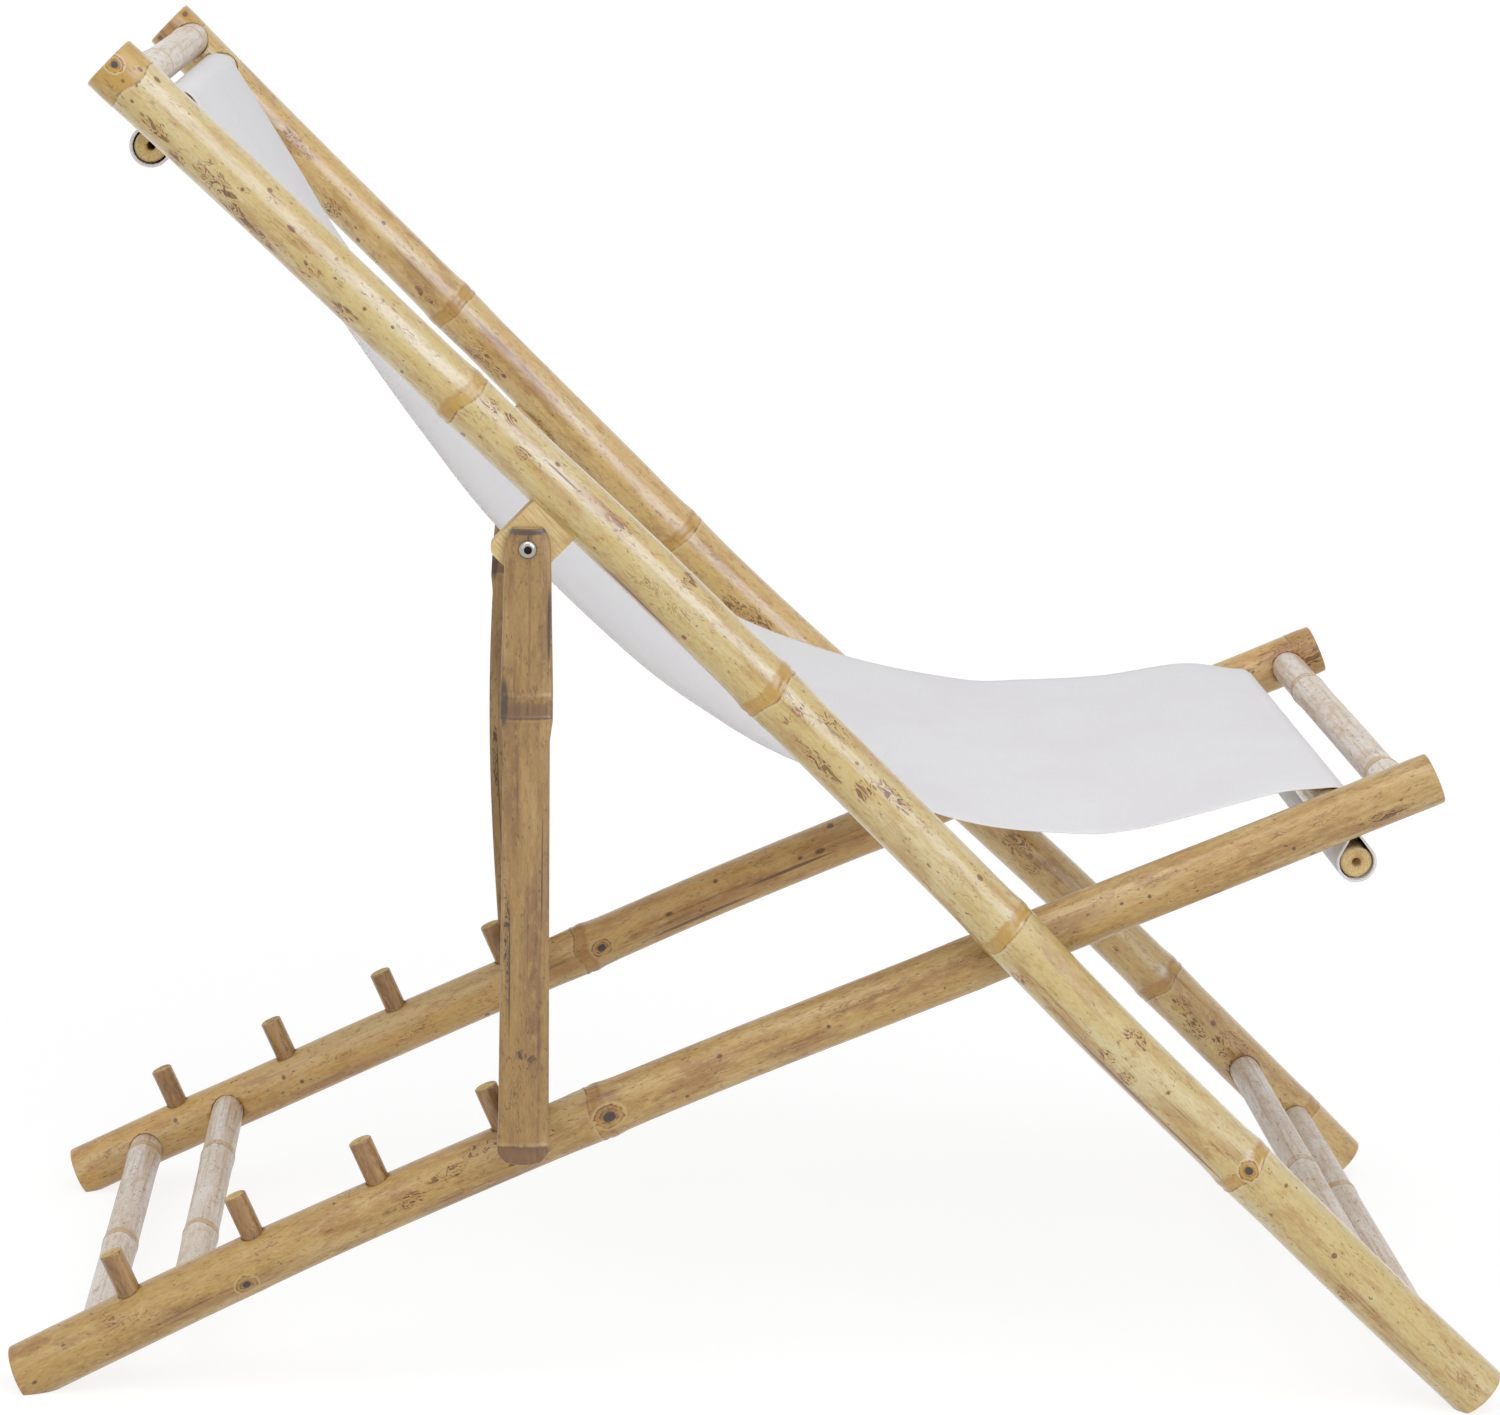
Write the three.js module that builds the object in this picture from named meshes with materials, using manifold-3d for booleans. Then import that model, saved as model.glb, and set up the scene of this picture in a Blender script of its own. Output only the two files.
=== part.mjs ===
// Folding sling chair made of bamboo culms. Millimetres, +Z up, +X to the front, +Y to the sitter's left.
// The long back frame and the short seat frame cross like scissors, and a prop hangs from the back frame
// and stands on the seat frame in front of one pair of its pegs. A canvas sling hangs between them.
import * as THREE from 'three';
import { mergeVertices } from 'three/addons/utils/BufferGeometryUtils.js';
import Module from 'manifold-3d';

const wasm = await Module();
wasm.setup();

// Stance: slopes of the two frames from the floor, in degrees
const backSlope = 43.9;
const seatSlope = 23.9;

// Back frame: reaches from the crossing along its poles, and setbacks from their ends
const backHalfWidth = 283;
const backPoleRadius = 21.5;
const headReach = 925;
const headRailSetback = 23;
const headBarSetback = 57;
const earPlace = 479;
const lowerFootRailSetback = 63;
const footRailSpacing = 65;
const backFootSaw = 4;

// Seat frame: reaches from the crossing along its poles, and setbacks from their ends
const poleGap = 3;
const seatPoleRadius = 20;
const rearReach = 821;
const frontReach = 327;
const frontRailSetback = 30;
const seatBarSetback = 74;
const seatBarLift = 2;
const outerRearRailSetback = 64;
const rearRailSpacing = 77;
const seatFootSaw = 2;

// Rails and bars tenoned between the poles
const railRadius = 13.5;
const footRailRadius = 12.8;
const headBarRadius = 13;
const seatBarRadius = 14.5;

// Pegs that the prop stands against
const pegCount = 4;
const rearPegSetback = 101.5;
const pegPitch = 102.5;
const pegRadius = 8.8;
const pegRise = 32.5;
const pegDepth = 26;

// Prop: two split strips and their cross bar
const earWidth = 40;
const earThickness = 20;
const earReach = 62;
const earDepth = 6;
const earCorner = 9;
const propPivotDrop = 40;
const stripWidth = 33;
const stripThickness = 11;
const stripCrown = 2.2;
const stripHeadroom = 14.5;
const stripTail = 32;
const stripRidge = 1.2;
const stripRidgeLength = 9;
const stripPocket = 5;
const farStripBow = -12;
const propBarRadius = 13;

// Fasteners
const boltRadius = 3;
const boltHeadRadius = 6.8;
const boltHeadHeight = 4.4;
const boltTail = 3;
const socketRadius = 2.4;
const socketDepth = 2.2;
const socketLand = 0.7;
const nutRadius = 6.4;
const nutCorners = 6;
const nutHeight = 5;
const washerRadius = 8;
const washerThickness = 1.2;
const pivotRadius = 4;
const pivotHeadRadius = 7.5;
const pivotHeadHeight = 5;
const pivotDepth = 25;
const pivotWasherRadius = 10;
const spacerRadius = 9;

// Sling and the two rods in its hems
const slingSideGap = 3.5;
const clothThickness = 1.5;
const rodRadius = 12.5;
const rodBoreRadius = 3.4;
const rodOverhang = 1;
const headRodDrop = 31;
const headRodShift = 4;
const seatRodDrop = 47;
const headHemThroat = 19;
const seatHemThroat = 24;
const seamThickness = 3;

// Cloth on the bars, in degrees up from the front: from where it meets a bar to where it leaves it
const headTurnFrom = 165;
const headTurnTo = 32;
const seatTurnFrom = 100;
const seatTurnTo = 4;

// Culm form: swelling and reach of a node, softened ends
const poleNodeSwell = 2;
const railNodeSwell = 1.4;
const nodeReach = 12;
const endEase = 1.6;

// Fits
const fit = 0.3;
const looseFit = 0.45;
const overrun = 2;

// Facets
const poleSides = 16;
const railSides = 12;
const boreSides = 20;
const smallSides = 14;
const slingSteps = 30;
const arcSteps = 7;

// Places of the back poles' nodes, as shares of the length from the head
const backNodeShares = {
  right: [0.013, 0.243, 0.459, 0.636, 0.819],
  left: [0.013, 0.236, 0.428, 0.631, 0.836, 0.961],
};

// Places of the seat poles' nodes, as shares of the reach from the crossing to the rear and to the front
const seatRearNodeShares = { right: [0.769, 0.415, 0.06], left: [0.891, 0.422, 0.08] };
const seatFrontNodeShares = { right: [0.937], left: [0.937] };

// Natural bow of the poles towards their upper side: shares of the length and rises as shares of this height
const poleBow = 10;
const backRiseShares = {
  right: [
    [0, -0.18],
    [0.08, 0.08],
    [0.16, 0.22],
    [0.25, 0.33],
    [0.36, 0.6],
    [0.45, 0.57],
    [0.54, 0.4],
    [0.62, 0.22],
    [0.71, -0.12],
    [0.82, -0.2],
    [0.93, -0.24],
    [1, -0.08],
  ],
  left: [
    [0, -0.42],
    [0.1, -0.5],
    [0.2, -0.46],
    [0.317, -0.36],
    [0.43, -0.82],
    [0.5, -0.86],
    [0.56, -0.65],
    [0.66, -0.1],
    [0.75, 0.27],
    [0.9, 0.22],
    [1, 0.06],
  ],
};
const seatRiseShares = {
  right: [
    [0, -0.83],
    [0.06, -0.43],
    [0.14, 0.05],
    [0.22, 0.36],
    [0.3, 0.53],
    [0.4, 0.61],
    [0.5, 0.54],
    [0.66, 0.12],
    [0.78, -0.07],
    [0.88, -0.32],
    [1, -0.55],
  ],
  left: [
    [0, -0.4],
    [0.07, -0.14],
    [0.14, -0.02],
    [0.24, 0.25],
    [0.42, 0.53],
    [0.52, 0.68],
    [0.64, 0.56],
    [0.8, 0.32],
    [0.9, 0.12],
    [1, -0.08],
  ],
};

// Taper of the poles: thickness as shares of the length and of the plain thickness
const backGirthShares = {
  right: [[0, 0.97], [0.12, 0.935], [0.22, 0.93], [0.34, 0.985], [0.5, 1], [0.75, 1], [1, 1.015]],
  left: [[0, 0.97], [0.2, 0.945], [0.4, 0.95], [0.6, 0.99], [0.75, 1], [1, 1.03]],
};
const seatGirthShares = {
  right: [[0, 1.12], [0.12, 1.1], [0.22, 1.04], [0.36, 1.02], [0.5, 1], [0.8, 1], [0.9, 0.975], [1, 0.97]],
  left: [[0, 1.05], [0.3, 1.04], [0.45, 1.005], [1, 1]],
};

// One node of a culm, as shares of its reach and of its swelling
const nodeFormShares = [[-1, 0], [-0.4, 0.5], [-0.1, 1], [0.08, 0.45], [0.3, 0.8], [1, 0]];

// Half width of a split strip down its length, as shares of the length and of half the width
const stripOutlineShares = [
  [0, 0.66],
  [0.012, 0.9],
  [0.03, 1],
  [0.26, 1.14],
  [0.31, 1.14],
  [0.34, 1.02],
  [0.6, 1.06],
  [0.93, 1.12],
  [0.965, 1.16],
  [0.985, 1.1],
  [1, 0.8],
];
const stripRidgeShare = 0.288;

// Dome of a bolt's head, as shares of its radius and of its height
const boltHeadShares = [[1, 0], [1, 0.33], [0.82, 0.78]];
const boltTipShare = 0.25;

// Hang of the sling between its two bars, as shares of the span along it and below it
const slingHangShares = [[0.15, 0.078], [0.34, 0.157], [0.54, 0.197], [0.74, 0.168], [0.88, 0.096]];

const degree = Math.PI / 180;
const sides = { right: -1, left: 1 };

// The seat frame's rear foot sets the height of the crossing, and that height how far the back poles reach
const seatRear = rearReach * Math.sin(seatSlope * degree) + seatPoleRadius * Math.cos(seatSlope * degree);
const pivotHeight = seatRear - seatFootSaw;
const backFoot = pivotHeight + backFootSaw - backPoleRadius * Math.cos(backSlope * degree);
const footReach = backFoot / Math.sin(backSlope * degree);

// Places along the back poles and the seat poles, and half widths of the seat frame and the sling
const headRailPlace = headReach - headRailSetback;
const headBarPlace = headReach - headBarSetback;
const lowerFootRailPlace = footReach - lowerFootRailSetback;
const upperFootRailPlace = lowerFootRailPlace - footRailSpacing;
const frontRailPlace = frontReach - frontRailSetback;
const seatBarPlace = frontReach - seatBarSetback;
const outerRearRailPlace = rearReach - outerRearRailSetback;
const innerRearRailPlace = outerRearRailPlace - rearRailSpacing;
const frontPegPlace = rearReach - rearPegSetback - (pegCount - 1) * pegPitch;
const seatHalfWidth = backHalfWidth - backPoleRadius - poleGap - seatPoleRadius;
const slingHalfWidth = seatHalfWidth - seatPoleRadius - slingSideGap;

// Colours of the natural culms, the bleached rails, the canvas and the metal
function matte(color, roughness, metalness = 0) {
  return new THREE.MeshStandardMaterial({ color, roughness, metalness });
}
const finishes = {
  strawBamboo: matte(0xc8b278, 0.45),
  brownBamboo: matte(0xb08a50, 0.5),
  bleachedBamboo: matte(0xd7cdc8, 0.6),
  earWood: matte(0xd8c48c, 0.6),
  canvas: matte(0xdedce0, 0.95),
  steel: matte(0xc9c9c6, 0.3, 1),
};

// A closed mesh as a solid, and a solid as a mesh
function toSolid(geometry) {
  const bare = new THREE.BufferGeometry();
  bare.setAttribute('position', geometry.attributes.position);
  bare.setIndex(geometry.index);
  const welded = mergeVertices(bare);
  const corners = welded.index.array;
  const kept = [];
  for (let i = 0; i < corners.length; i += 3) {
    const [a, b, c] = corners.slice(i, i + 3);
    if (a !== b && b !== c && c !== a) kept.push(a, b, c);
  }
  return new wasm.Manifold(new wasm.Mesh({
    numProp: 3,
    vertProperties: welded.attributes.position.array,
    triVerts: new Uint32Array(kept),
  }));
}

function toGeometry(solid) {
  const mesh = solid.getMesh();
  const geometry = new THREE.BufferGeometry();
  geometry.setAttribute('position', new THREE.BufferAttribute(mesh.vertProperties, 3));
  geometry.setIndex(new THREE.BufferAttribute(mesh.triVerts, 1));
  geometry.computeVertexNormals();
  return geometry;
}

function cutAway(geometry, cutters) {
  let solid = toSolid(geometry);
  for (const cutter of cutters) solid = solid.subtract(toSolid(cutter));
  return toGeometry(solid);
}

function extruded(shape, depth) {
  return new THREE.ExtrudeGeometry(shape, { depth, bevelEnabled: false, curveSegments: arcSteps });
}

// A round bore between two points, a little wider than what it takes in
function bore(radius, from, to) {
  const axis = new THREE.Vector3().subVectors(to, from);
  const wide = radius / Math.cos(Math.PI / boreSides);
  const geometry = new THREE.CylinderGeometry(wide, wide, axis.length(), boreSides);
  const turn = new THREE.Quaternion();
  turn.setFromUnitVectors(new THREE.Vector3(0, 1, 0), axis.clone().normalize());
  geometry.applyQuaternion(turn);
  geometry.translate(...new THREE.Vector3().lerpVectors(from, to, 0.5).toArray());
  return geometry;
}

// A culm along +X from x = 0: a turned form with a swollen, grooved node at each place
function culm({ length, radius, nodes, swell, sideCount, plainRings = [], boreRadius = 0 }) {
  const rings = nodes.flatMap((place) => nodeFormShares.map(([alongShare, swellShare]) => [
    radius + swell * swellShare,
    place + nodeReach * alongShare,
  ]));
  for (const place of plainRings) {
    if (nodes.every((node) => Math.abs(node - place) > nodeReach + endEase)) rings.push([radius, place]);
  }
  rings.sort(([, first], [, second]) => first - second);
  const outline = [[boreRadius, 0], [radius - endEase, 0], [radius, endEase], ...rings];
  outline.push([radius, length - endEase], [radius - endEase, length], [boreRadius, length]);
  if (boreRadius > 0) outline.push([boreRadius, 0]);
  const profile = outline.map(([across, along]) => new THREE.Vector2(across, along));
  const geometry = new THREE.LatheGeometry(profile, sideCount);
  geometry.rotateZ(-Math.PI / 2);
  return geometry;
}

// Value of a table of pairs at a share, on a straight line between its neighbours
function valueAt(pairs, share) {
  const inside = THREE.MathUtils.clamp(share, 0, 1);
  const next = Math.max(1, pairs.findIndex(([place]) => place >= inside));
  const [before, first] = pairs[next - 1];
  const [after, second] = pairs[next];
  return THREE.MathUtils.mapLinear(inside, before, after, first, second);
}

// A pole from its start along +X, tapered and bent by its tables
function pole(start, length, radius, nodes, riseShares, girthShares) {
  const knots = [...riseShares, ...girthShares].map(([share]) => share).filter((share) => share % 1 > 0);
  const plainRings = [...new Set(knots)].map((share) => share * length);
  const geometry = culm({ length, radius, nodes, swell: poleNodeSwell, sideCount: poleSides, plainRings });
  const place = geometry.attributes.position;
  for (let i = 0; i < place.count; i += 1) {
    const share = place.getX(i) / length;
    const girth = valueAt(girthShares, share);
    const rise = poleBow * valueAt(riseShares, share);
    place.setXYZ(i, place.getX(i) + start, place.getY(i) * girth, place.getZ(i) * girth + rise);
  }
  return geometry;
}

// Scene graph: each frame turns about its own pivot
const recliner = new THREE.Group();

// In the back frame +X runs down to the feet and +Z towards the sitter
const backFrame = new THREE.Group();
backFrame.position.z = pivotHeight;
backFrame.rotation.y = backSlope * degree;

// In the seat frame +X runs up to the front and +Z up
const seatFrame = new THREE.Group();
seatFrame.position.z = pivotHeight;
seatFrame.rotation.y = -seatSlope * degree;
recliner.add(backFrame, seatFrame);
recliner.updateMatrixWorld(true);

function add(parent, name, geometry, finish, place = [0, 0, 0]) {
  const mesh = new THREE.Mesh(geometry, finish);
  mesh.name = name;
  mesh.position.set(...place);
  parent.add(mesh);
  return mesh;
}

// Everything under the floor, seen from inside a frame, to saw the feet flat
function belowFloor(frame, across) {
  const extent = headReach + rearReach;
  const slab = new THREE.BoxGeometry(2 * extent, 2 * extent, extent);
  slab.translate(0, 0, -extent / 2);
  slab.applyMatrix4(frame.matrixWorld.clone().invert());
  slab.translate(0, -across, 0);
  return slab;
}

// A bore from a pole's inner face to its axis, for a rail's tenon
function tenonBore(x, z, radius, poleRadius, side) {
  const mouth = new THREE.Vector3(x, -side * (poleRadius + overrun + poleNodeSwell), z);
  return bore(radius + looseFit, mouth, new THREE.Vector3(x, side * fit, z));
}

// Back poles: the outer pair, with rails, ears and crossing bolts let in
const backLength = headReach + footReach;
const backPlaces = {
  head_rail: [-headRailPlace, railRadius],
  head_sling_bar: [-headBarPlace, headBarRadius],
  foot_rail_upper: [upperFootRailPlace, footRailRadius],
  foot_rail_lower: [lowerFootRailPlace, footRailRadius],
};
const pivotTip = backHalfWidth - backPoleRadius + pivotDepth;

function earMortise() {
  const slot = new THREE.BoxGeometry(earWidth + 2 * fit, earThickness + 2 * fit, earReach + earDepth + fit);
  slot.translate(-earPlace, 0, (earDepth + fit - earReach) / 2);
  return slot;
}

for (const [hand, side] of Object.entries(sides)) {
  const nodes = backNodeShares[hand].map((share) => share * backLength);
  const forms = [backRiseShares[hand], backGirthShares[hand]];
  const body = pole(-headReach, backLength, backPoleRadius, nodes, ...forms);
  const cutters = [earMortise(), belowFloor(backFrame, side * backHalfWidth)];
  for (const [x, radius] of Object.values(backPlaces)) {
    cutters.push(tenonBore(x, 0, radius, backPoleRadius, side));
  }
  const boltMouth = new THREE.Vector3(0, -side * (backPoleRadius + poleNodeSwell + overrun), 0);
  const boltBottom = new THREE.Vector3(0, side * (pivotTip - backHalfWidth + fit), 0);
  cutters.push(bore(pivotRadius + fit, boltMouth, boltBottom));
  const place = [0, side * backHalfWidth, 0];
  add(backFrame, `back_pole_${hand}`, cutAway(body, cutters), finishes.strawBamboo, place);
}

// A rail across a frame, from the axis of one pole to the axis of the other
function rail(frame, name, x, z, radius, halfLength, nodeShares, finish) {
  const geometry = culm({
    length: 2 * halfLength,
    radius,
    nodes: nodeShares.map((share) => share * 2 * halfLength),
    swell: railNodeSwell,
    sideCount: railSides,
  });
  geometry.translate(-halfLength, 0, 0);
  geometry.rotateZ(Math.PI / 2);
  add(frame, name, geometry, finish, [x, 0, z]);
}

// Node places across the rails, as shares from the sitter's right to the left
const railNodeShares = {
  head_rail: [0.3, 0.86],
  head_sling_bar: [0.42],
  foot_rail_upper: [0.45],
  foot_rail_lower: [0.58],
  seat_front_rail: [0.09, 0.75],
  seat_sling_bar: [0.55],
  rear_rail_inner: [0.26, 0.68],
  rear_rail_outer: [0.42, 0.9],
};
const propBarNodeShares = [0.2, 0.63];
const rodNodeShares = { head_sling_rod: [0.38, 0.81], seat_sling_rod: [0.22, 0.66] };
for (const [name, [x, radius]] of Object.entries(backPlaces)) {
  const finish = name === 'head_sling_bar' ? finishes.strawBamboo : finishes.bleachedBamboo;
  rail(backFrame, name, x, 0, radius, backHalfWidth, railNodeShares[name], finish);
}

// Seat poles: the inner pair, with rails and pegs let in and the crossing bolts passing through
const seatLength = rearReach + frontReach;
const seatShare = (x) => (x + rearReach) / seatLength;
const seatRise = (hand, x) => poleBow * valueAt(seatRiseShares[hand], seatShare(x));
const seatGirth = (hand, x) => valueAt(seatGirthShares[hand], seatShare(x));
const seatTop = (hand, x) => seatRise(hand, x) + seatPoleRadius * seatGirth(hand, x);
const middleRise = (x) => (seatRise('right', x) + seatRise('left', x)) / 2;
const seatPlaces = {
  seat_front_rail: [frontRailPlace, railRadius, 0],
  seat_sling_bar: [seatBarPlace, seatBarRadius, seatBarLift],
  rear_rail_inner: [-innerRearRailPlace, railRadius, 0],
  rear_rail_outer: [-outerRearRailPlace, railRadius, 0],
};
const pegPlaces = Array.from({ length: pegCount }, (_, i) => -frontPegPlace - i * pegPitch);

for (const [hand, side] of Object.entries(sides)) {
  const rearNodes = seatRearNodeShares[hand].map((share) => rearReach * (1 - share));
  const frontNodes = seatFrontNodeShares[hand].map((share) => rearReach + frontReach * share);
  const nodes = [...rearNodes, ...frontNodes];
  const forms = [seatRiseShares[hand], seatGirthShares[hand]];
  const body = pole(-rearReach, seatLength, seatPoleRadius, nodes, ...forms);
  const cutters = [belowFloor(seatFrame, side * seatHalfWidth)];
  for (const [x, radius, lift] of Object.values(seatPlaces)) {
    cutters.push(tenonBore(x, middleRise(x) + lift, radius, seatPoleRadius, side));
  }
  for (const x of pegPlaces) {
    const bottom = seatTop(hand, x) - pegDepth - fit;
    const mouth = seatTop(hand, x) + poleNodeSwell + overrun;
    cutters.push(bore(pegRadius + fit, new THREE.Vector3(x, 0, bottom), new THREE.Vector3(x, 0, mouth)));
  }
  const through = seatPoleRadius + poleNodeSwell + overrun;
  const inside = new THREE.Vector3(0, -side * through, 0);
  const outside = new THREE.Vector3(0, side * through, 0);
  cutters.push(bore(pivotRadius + looseFit, inside, outside));
  const facing = new THREE.Vector3(0, -side * seatPoleRadius + side * endEase, 0);
  cutters.push(bore(pivotWasherRadius + looseFit, inside, facing));
  const seating = new THREE.Vector3(0, side * seatPoleRadius, 0);
  cutters.push(bore(spacerRadius + looseFit, outside, seating));
  const place = [0, side * seatHalfWidth, 0];
  add(seatFrame, `seat_pole_${hand}`, cutAway(body, cutters), finishes.brownBamboo, place);
}
for (const [name, [x, radius, lift]] of Object.entries(seatPlaces)) {
  const finish = name === 'seat_sling_bar' ? finishes.brownBamboo : finishes.bleachedBamboo;
  rail(seatFrame, name, x, middleRise(x) + lift, radius, seatHalfWidth, railNodeShares[name], finish);
}

// Pegs: short turned dowels, square to the poles
for (const [hand, side] of Object.entries(sides)) {
  pegPlaces.forEach((x, i) => {
    const peg = culm({
      length: pegRise + pegDepth,
      radius: pegRadius,
      nodes: [],
      swell: 0,
      sideCount: railSides,
    });
    peg.rotateY(-Math.PI / 2);
    const bottom = seatTop(hand, x) - pegDepth;
    add(seatFrame, `peg_${hand}_${i + 1}`, peg, finishes.brownBamboo, [x, side * seatHalfWidth, bottom]);
  });
}

// A form turned about Y from pairs of radius and height
function turned(outline, sideCount) {
  const profile = outline.map(([across, along]) => new THREE.Vector2(across, along));
  return new THREE.LatheGeometry(profile, sideCount);
}

// A headed bolt along +Y from the underside of its head at y = 0, with a round socket in a domed head
function bolt(radius, length, headRadius, headHeight) {
  const tip = radius * boltTipShare;
  const dome = boltHeadShares.map(([acrossShare, alongShare]) => [
    headRadius * acrossShare,
    -headHeight * alongShare,
  ]);
  const outline = [
    [0, socketDepth - headHeight],
    [socketRadius, socketDepth - headHeight],
    [socketRadius + socketLand, -headHeight],
    ...dome.reverse(),
    [radius, 0],
    [radius, length - tip],
    [radius - tip, length],
    [0, length],
  ];
  return turned(outline, smallSides);
}

function washer(radius, hole, thickness) {
  return turned([[hole, 0], [radius, 0], [radius, thickness], [hole, thickness], [hole, 0]], boreSides);
}

function nut(radius, hole, height) {
  const flats = new THREE.Shape();
  for (let i = 0; i < nutCorners; i += 1) {
    const angle = 2 * Math.PI * i / nutCorners;
    const corner = [radius * Math.cos(angle), radius * Math.sin(angle)];
    if (i === 0) flats.moveTo(...corner);
    else flats.lineTo(...corner);
  }
  flats.closePath();
  const opening = new THREE.Path();
  opening.absarc(0, 0, hole, 0, 2 * Math.PI, true);
  flats.holes.push(opening);
  const geometry = extruded(flats, height);
  geometry.rotateX(-Math.PI / 2);
  return geometry;
}

// Turns a part that lies along +Y so that it points outwards on one side of the chair
function outward(geometry, side) {
  if (side < 0) geometry.rotateZ(Math.PI);
  return geometry;
}

// Crossing bolts: each passes from inside through the seat pole and is screwed into the back pole
for (const [hand, side] of Object.entries(sides)) {
  const seat = seatHalfWidth - seatPoleRadius + endEase;
  const underHead = seat - fit - washerThickness - fit;
  const shank = outward(bolt(pivotRadius, pivotTip - underHead, pivotHeadRadius, pivotHeadHeight), side);
  add(backFrame, `pivot_bolt_${hand}`, shank, finishes.steel, [0, side * underHead, 0]);
  const plate = outward(washer(pivotWasherRadius, pivotRadius + fit, washerThickness), side);
  const platePlace = seat - fit - washerThickness;
  add(seatFrame, `pivot_washer_${hand}`, plate, finishes.steel, [0, side * platePlace, 0]);
  const spacer = outward(washer(spacerRadius, pivotRadius + fit, poleGap - 2 * fit), side);
  const spacerPlace = seatHalfWidth + seatPoleRadius + fit;
  add(seatFrame, `pivot_spacer_${hand}`, spacer, finishes.steel, [0, side * spacerPlace, 0]);
}

// Ears: slabs mortised into the rear of the back poles, with a rounded outer corner and a bolt hole
for (const [hand, side] of Object.entries(sides)) {
  const outline = new THREE.Shape();
  outline.moveTo(-earWidth / 2, earDepth);
  outline.lineTo(-earWidth / 2, earCorner - earReach);
  outline.quadraticCurveTo(-earWidth / 2, -earReach, earCorner - earWidth / 2, -earReach);
  outline.lineTo(earWidth / 2 - earCorner, -earReach);
  outline.quadraticCurveTo(earWidth / 2, -earReach, earWidth / 2, earCorner - earReach);
  outline.lineTo(earWidth / 2, earDepth);
  outline.closePath();
  const hole = new THREE.Path();
  hole.absarc(0, -propPivotDrop, boltRadius + fit, 0, 2 * Math.PI, true);
  outline.holes.push(hole);
  const slab = extruded(outline, earThickness);
  slab.rotateX(Math.PI / 2);
  slab.translate(0, earThickness / 2, 0);
  add(backFrame, `prop_ear_${hand}`, slab, finishes.earWood, [-earPlace, side * backHalfWidth, 0]);
}

// Prop frame: its pivot is the ears' bolts, and its bar lies on the seat poles in front of the first pegs
const pivot = backFrame.localToWorld(new THREE.Vector3(-earPlace, 0, -propPivotDrop));
const barPlace = -frontPegPlace + pegRadius + propBarRadius + 2 * fit;
const barRise = Math.max(seatTop('right', barPlace), seatTop('left', barPlace)) + propBarRadius + fit;
const barCentre = seatFrame.localToWorld(new THREE.Vector3(barPlace, 0, barRise));
const propFrame = new THREE.Group();
propFrame.position.copy(pivot);
propFrame.rotation.y = Math.atan2(pivot.x - barCentre.x, pivot.z - barCentre.z);
recliner.add(propFrame);
const propReach = pivot.distanceTo(barCentre);
const stripLength = stripHeadroom + propReach + stripTail;
const stripInnerFace = backHalfWidth + earThickness / 2 + fit;

// Width outline of a strip in its own plane, bowed sideways down its length
function stripOutline(bow) {
  const edge = (direction) => stripOutlineShares.map(([alongShare, halfShare]) => [
    bow * Math.sin(Math.PI * alongShare) + direction * halfShare * stripWidth / 2,
    stripHeadroom - alongShare * stripLength,
  ]);
  const shape = new THREE.Shape();
  edge(1).concat(edge(-1).reverse()).forEach((corner, i) => {
    if (i === 0) shape.moveTo(...corner);
    else shape.lineTo(...corner);
  });
  shape.closePath();
  return shape;
}

// Section of a strip split from a wide culm: flat inside and crowned outside
function stripSection(thickness) {
  const half = stripWidth;
  const crown = (across) => thickness - stripCrown * (2 * across / stripWidth) ** 2;
  const shape = new THREE.Shape();
  shape.moveTo(-half, 0);
  shape.lineTo(half, 0);
  for (let i = 0; i <= arcSteps + 1; i += 1) {
    const across = half * (1 - 2 * i / (arcSteps + 1));
    shape.lineTo(across, crown(across));
  }
  shape.closePath();
  return shape;
}

for (const [hand, side] of Object.entries(sides)) {
  const outline = extruded(stripOutline(hand === 'left' ? farStripBow : 0), 2 * stripThickness);
  outline.rotateX(Math.PI / 2);
  outline.translate(0, 2 * stripThickness - overrun, 0);
  const plain = extruded(stripSection(stripThickness), stripLength);
  plain.translate(0, 0, stripHeadroom - stripLength);
  const ridge = extruded(stripSection(stripThickness + stripRidge), stripRidgeLength);
  ridge.translate(0, 0, stripHeadroom - stripRidgeShare * stripLength - stripRidgeLength / 2);
  const boltFrom = new THREE.Vector3(0, -overrun, 0);
  const boltTo = new THREE.Vector3(0, stripThickness + overrun, 0);
  const drilled = bore(boltRadius + looseFit, boltFrom, boltTo);
  const pocketFrom = new THREE.Vector3(0, -overrun, -propReach);
  const pocketTo = new THREE.Vector3(0, stripPocket + fit, -propReach);
  const pocket = bore(propBarRadius + looseFit, pocketFrom, pocketTo);
  let solid = toSolid(plain).add(toSolid(ridge)).intersect(toSolid(outline));
  solid = solid.subtract(toSolid(drilled)).subtract(toSolid(pocket));
  const strip = outward(toGeometry(solid), side);
  add(propFrame, `prop_strip_${hand}`, strip, finishes.brownBamboo, [0, side * stripInnerFace, 0]);
}
const barHalf = stripInnerFace + stripPocket;
const barFinish = finishes.brownBamboo;
rail(propFrame, 'prop_cross_bar', 0, -propReach, propBarRadius, barHalf, propBarNodeShares, barFinish);

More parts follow.
